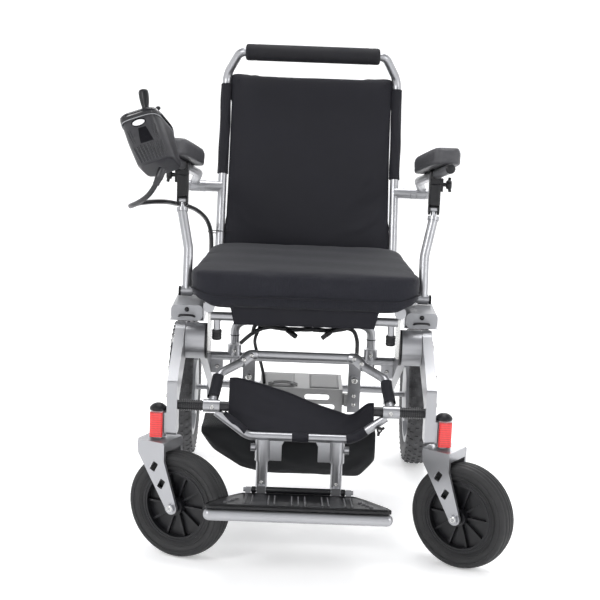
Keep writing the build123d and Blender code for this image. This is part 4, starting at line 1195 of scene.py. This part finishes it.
make_pod()
make_stick()
NODES["joystick_cover"].data.materials[0] = FINISHES["gloss_black"]


# Fasteners and small hard parts

def place_screws(name, body, rows, finish="steel"):
    """Screws as one piece: rows of place, way it faces, radius and height."""
    build(name, join(*[screw(np.array(at, float), unit(way), radius, height) for at, way, radius,
                       height in rows]),
          finish, body)


def both(rows):
    """Each row and its mirror image on the chair's other side."""
    return [((sign * at[0], *at[1:]), (sign * way[0], *way[1:]), radius, height)
            for at, way, radius, height in rows for sign in (1, -1)]


place_screws("front_frame_screws", "front_frame", both([
    ((248.5, 20, 345), (1, 0, 0), 5.5, 3), ((248.5, -8, 300), (1, 0, 0), 4.5, 3),
    ((113, 99.5, 347), (0, -1, 0.2), 5, 3.5),
    ((99, 112.6, 353), (0, -1, 0.2), 4.6, 3.5), ((166, -11.5, 281), (0, -1, 0), 4.2, 3),
    ((186.2, 145, 425), (1, 0, 0), 4.5, 2),
    ((253, 145, 372), (1, 0, 0), 7, 2.4)]))
place_screws("rear_frame_screws", "rear_frame", both([
    ((111, 326, 257), (0, -1, 0), 7.2, 4.5), ((111, 333, 222), (0, -1, 0), 4.6, 3.5),
    ((111, 333, 203), (0, -1, 0), 4.6, 3.5),
    ((104, 341, 209), (0, -1, 0), 4, 2.6), ((142, 316.6, 314), (0, -1, 0), 4, 2.6),
    ((178, 334, 276), (0, -1, 0), 4.4, 3)]))
place_screws("hanger_screws", "footrest_hangers", both([((70, -11, 140), (0, -1, 0), 3.6, 2.2)]))


def make_cover_details():
    """Ribs with screws on the controller cover and a darker band each side of its middle."""
    parts = []
    for x in (-62, -20):
        parts.append(turned([(0, 0), (3.4, 0), (3.4, 5.2), (2.6, 6), (0, 6)], (x, 372, 231), (0, 0, 1), 16))
    for y in (366, 378):
        rib = np.array([(-70, y, 232.2), (-66, y, 233.6), (-12, y, 233.6), (-8, y, 232.2)], float)
        parts.append(tube(smooth_path(rib, 24), 1.7, 10, up=(0, 0, 1)))
    build("cover_ribs", join(*parts), "grey_metal", "rear_frame")
    bands = []
    for low, high in ((-80, -14), (18, 80)):
        x = np.linspace(low, high, 12)
        y = np.linspace(352, 474, 10)
        grid = np.stack([x[None] + 0 * y[:, None], y[:, None] + 0 * x[None], np.full((10, 12), 231.35)], -1)
        bands.append(surface(grid))
    build("cover_bands", join(*bands), "dark_band", "rear_frame",
          [("SOLIDIFY", {"thickness": 0.0007, "offset": 0})])


FINISHES["dark_band"] = metal_finish("cover_band", (0.20, 0.20, 0.20), 0.55, 0.1, 0.6)
make_cover_details()


def make_ties():
    """Cable ties: the lead to the back tube, and the harness to the stay."""
    tie = turned_bead(np.array([-199, 533, 531.0]), (0, 0.3, 0.95), 17.5, 1.0)
    tail = tube(smooth_path([(-183, 529, 533), (-177, 524, 535), (-168, 520, 536)], 12), 0.9, 6)
    build("lead_tie", join(tie, tail), "black_plastic", "backrest")
    hoop = [turned_bead(np.array([sign * 142, 330, 345.0]), (0, 0, 1), 9, 1.1) for sign in SIDES.values()]
    build("stay_ties", join(*hoop), "black_plastic", "front_frame")


make_ties()


# Footplate

FOOT_SLOPE = math.radians(11)
FOOT_AXES = np.array([[-1, 0, 0], [0, -math.cos(FOOT_SLOPE), math.sin(FOOT_SLOPE)],
                      [0, math.sin(FOOT_SLOPE), math.cos(FOOT_SLOPE)]])


def on_foot(points):
    """Places in the chair's frame from the footplate's own: across, down its slope, up from its hinge."""
    return np.array([0, -12, 125.0]) + points @ FOOT_AXES


def deck_shape(a, b, c):
    """Moulded deck, wider in front, with a raised lip round its edge and a rounded nose."""
    y = 82 + 80 * b
    half = np.interp(y, [2, 34, 128, 162], [110, 125, 159, 166.0])
    corner = 1 - 0.06 * step(np.abs(b), 0.9, 1) ** 2
    rim = np.maximum(np.abs(a), np.abs(b))
    lip = 1.6 * np.exp(-(((rim - 0.955) / 0.02) ** 2))
    z = np.where(c > 0, -7 + (lip - 2.0 * step(rim, 0.98, 1)) * c, -7 + 6.8 * c)
    return on_foot(np.stack([a * half * corner, y, z], -1))


def make_deck():
    """Footplate deck, its raised grip dashes in groups and side pads, lighter grey as a painted highlight,
    and the front tube's rounded ends.
    """
    deck = padded_box((72, 48, 4), deck_shape, (140, 80, 4))
    block, faces, _ = box_lattice((3, 3, 2))
    a, b = squared_round(*block.T[:2], 4)
    taper = 1 - 0.25 * (block[:, 2] > 0)
    local = np.stack([a * taper, b * taper, block[:, 2]], -1)
    dashes = []
    spots = [(x, y, 3.2, 6.0) for x in (-96, -84, -54, -43, -12, 0, 12, 43, 54, 84, 96)
             for y in (38, 56, 74, 92, 110, 128)]
    spots += [(sign * x, y, 8.0, 3.0) for sign in (-1, 1)
              for x, y in ((112, 78), (118, 96), (124, 114), (130, 132))]
    for x, y, wide, long in spots:
        points = on_foot(np.array([x, y, -6.6]) + local * (wide / 2, long / 2, 1.9))
        dashes.append((points, faces, np.zeros((faces.size, 2))))
    deck_piece = build("footplate_deck", deck, "black_plastic", "footplate")
    # The dashes' lighter grey is a painted highlight.
    build("footplate_dashes", join(*dashes), "dash_painted_highlight", "footplate")
    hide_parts("footplate")
    dome = [(0, 9.6), (3.4, 9.2), (6.6, 7.8), (9.0, 5.4), (10.4, 2.4), (10.8, 0), (10.8, -1.5), (0, -1.5)]
    plugs = [turned(dome, on_foot(np.array([sign * 158.0, 152, -25.1])),
                    (-sign, 0, 0), 32) for sign in (1, -1)]
    build("foot_tube_plugs", join(*plugs), "alloy", "footplate")


make_deck()


# Battery end caps and armrest plugs

def make_end_details():
    """Battery end handles and lights, and the plugs in the ends of the arm tubes."""
    for side, sign in SIDES.items():
        grip = smooth_path([(sign * 214, 150, 418), (sign * 216, 143, 421), (sign * 242, 143, 421),
                            (sign * 244, 150, 418)], 24)
        part = join(tube(grip, 2.2, 8), turned([(0, 0), (4.5, 0), (4.5, -1.6), (0, -1.6)],
                                               (sign * 229, 150.2, 432), (0, 1, 0), 20))
        build(f"battery_handle_{side}", part, "black_plastic", f"battery_{side}")
        flip = np.array([sign, 1, 1])
        along = unit((TUBE_FRONT - TUBE_REAR) * flip)
        tip = TUBE_FRONT * flip + along * (86 if sign < 0 else 0)
        plug = turned([(0, 3.0), (6.5, 2.6), (9.0, 1.4), (9.6, 0), (0, 0)], tip, along, 28)
        build(f"arm_tube_plug_{side}", plug, "black_plastic", f"armrest_{side}")


make_end_details()


def make_bumpers():
    """Bumper stubs: a bare tube and a ribbed rubber foot on each."""
    feet, stubs = [], []
    foot = [(0, 0), (7.6, 0), (9.2, 1.5), (9.5, 3), (9.5, 6), (8.8, 7), (9.5, 8), (9.5, 11), (8.8, 12),
            (9.5, 13),
            (9.5, 18.5), (8.6, 19.9), (6.6, 20), (0, 20)]
    for sign in SIDES.values():
        feet.append(turned(foot, (sign * 168, 124, 380), (0, 0, 1), 36))
        stubs.append(turned([(6.5, 0), (6.5, 20)], (sign * 168, 124, 399.5), (0, 0, 1), 28))
    rubber = build("bumper_feet", join(*feet), "black_plastic", "front_frame")
    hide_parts("seat_bumpers")
    build("bumper_stubs", join(*stubs), "alloy", "front_frame")


def make_hinge_barrels():
    """Black hinge barrels of the footplate round its rod, beside the hangers' lugs."""
    parts = []
    for low, high in ((-88, -79.5), (-60.5, 60.5), (79.5, 88)):
        x = np.array([low, low + 0.8, low + 1.6, high - 1.6, high - 0.8, high])
        path = on_foot(np.stack([x, 0 * x, 0 * x], -1))
        parts.append(tube(path, np.array([5.0, 6.0, 6.4, 6.4, 6.0, 5.0]), 24))
    build("footplate_hinge", join(*parts), "black_plastic", "footplate")


def make_wing_knob():
    """Black wing knob with a bright screw under the carrier's right-hand incline."""
    hub = turned([(0, 0), (4.6, 0), (5.2, 1), (5.2, 9), (4.4, 10), (0, 10)], (146, -8, 250), (0, -1, 0), 24)
    wings = [tube(smooth_path([(146, -14, 250), (146 + dx / 2, -15, 250 + dz / 2),
                               (146 + dx, -16, 250 + dz)], 10),
                  np.linspace(3.2, 2.6, 10), 10) for dx, dz in ((9, 5), (-2, -11))]
    build("wing_knob", join(hub, *wings), "black_plastic", "front_frame")
    place_screws("wing_knob_screw", "front_frame", [((146, -18, 250), (0, -1, 0), 2.4, 2.0)])


LATCH_AT = np.array([254, 295.4, 628.0])


def make_latch_details():
    """A web across the front of each latch between its cheeks, its flared foot, and a winged release knob."""
    for side, sign in SIDES.items():
        mirror = np.array([sign, 1, 1])
        block, faces, _ = box_lattice((4, 3, 12))
        a, b = squared_round(*block.T[:2], 6)
        x = 254 + 10.6 * a
        z = 658 + 22 * block[:, 2]
        y = LATCH_AT[1] - 12.5 + 2.6 * b
        web = (np.stack([sign * x, y, z], -1), faces if sign > 0 else faces[:, ::-1],
               np.zeros((faces.size, 2)))
        at = np.array([276, LATCH_AT[1], 678]) * mirror
        knob = turned([(0, 0), (5, 0), (8.2, 1), (9, 3), (9, 8), (8, 10.5), (0, 11)], at, (sign, 0, 0), 28)
        ears = [tube(smooth_path([at + (sign * 6, 0, 0), at + (sign * 7, up * 6, up * 8),
                                  at + (sign * 8, up * 7, up * 14)], 10),
                     np.linspace(3.6, 3.0, 10), 12) for up in (1, -1)]
        build(f"latch_web_{side}", join(web, knob, *ears), "black_plastic", f"latch_{side}")


def make_ears():
    """Forged ears where the inclined tubes meet the front cross tube: flattened lobes with a bolt boss."""
    parts = []
    for sign in SIDES.values():
        line = smooth_path([(sign * 88, 127, 352), (sign * 100, 124, 351), (sign * 112, 112, 345),
                            (sign * 119, 101, 339)], 24)
        swell = 8.7 + 2.6 * np.sin(np.linspace(0, math.pi, 24)) ** 0.7
        v = around(24)
        parts.append(tube(line, swell[:, None] * (1 - 0.12 * np.cos(v) ** 2), 24))
    build("cross_tube_ears", join(*parts), "alloy", "front_frame")


make_bumpers()
make_hinge_barrels()
make_ears()
make_wing_knob()
make_latch_details()


# Floor

def make_studio():
    """Pale floor that curves up into a round backdrop."""
    profile = [(0, 0), (2600, 0), (4200, 0), (5200, 250), (5900, 1000), (6200, 2400), (6300, 5000)]
    radius, height = np.transpose(smooth_path(np.array([(r, h, 0) for r, h in profile], float), 60))[:2]
    studio = build("studio_floor", turned(np.stack([radius, height], -1), (0, 300, -0.3), (0, 0, 1), 64),
                   "floor", None, outward=False)


FINISHES["floor"] = Finish("pale_floor", (0.93, 0.93, 0.93), 0.8, Emission_Strength=0.3).material
make_studio()
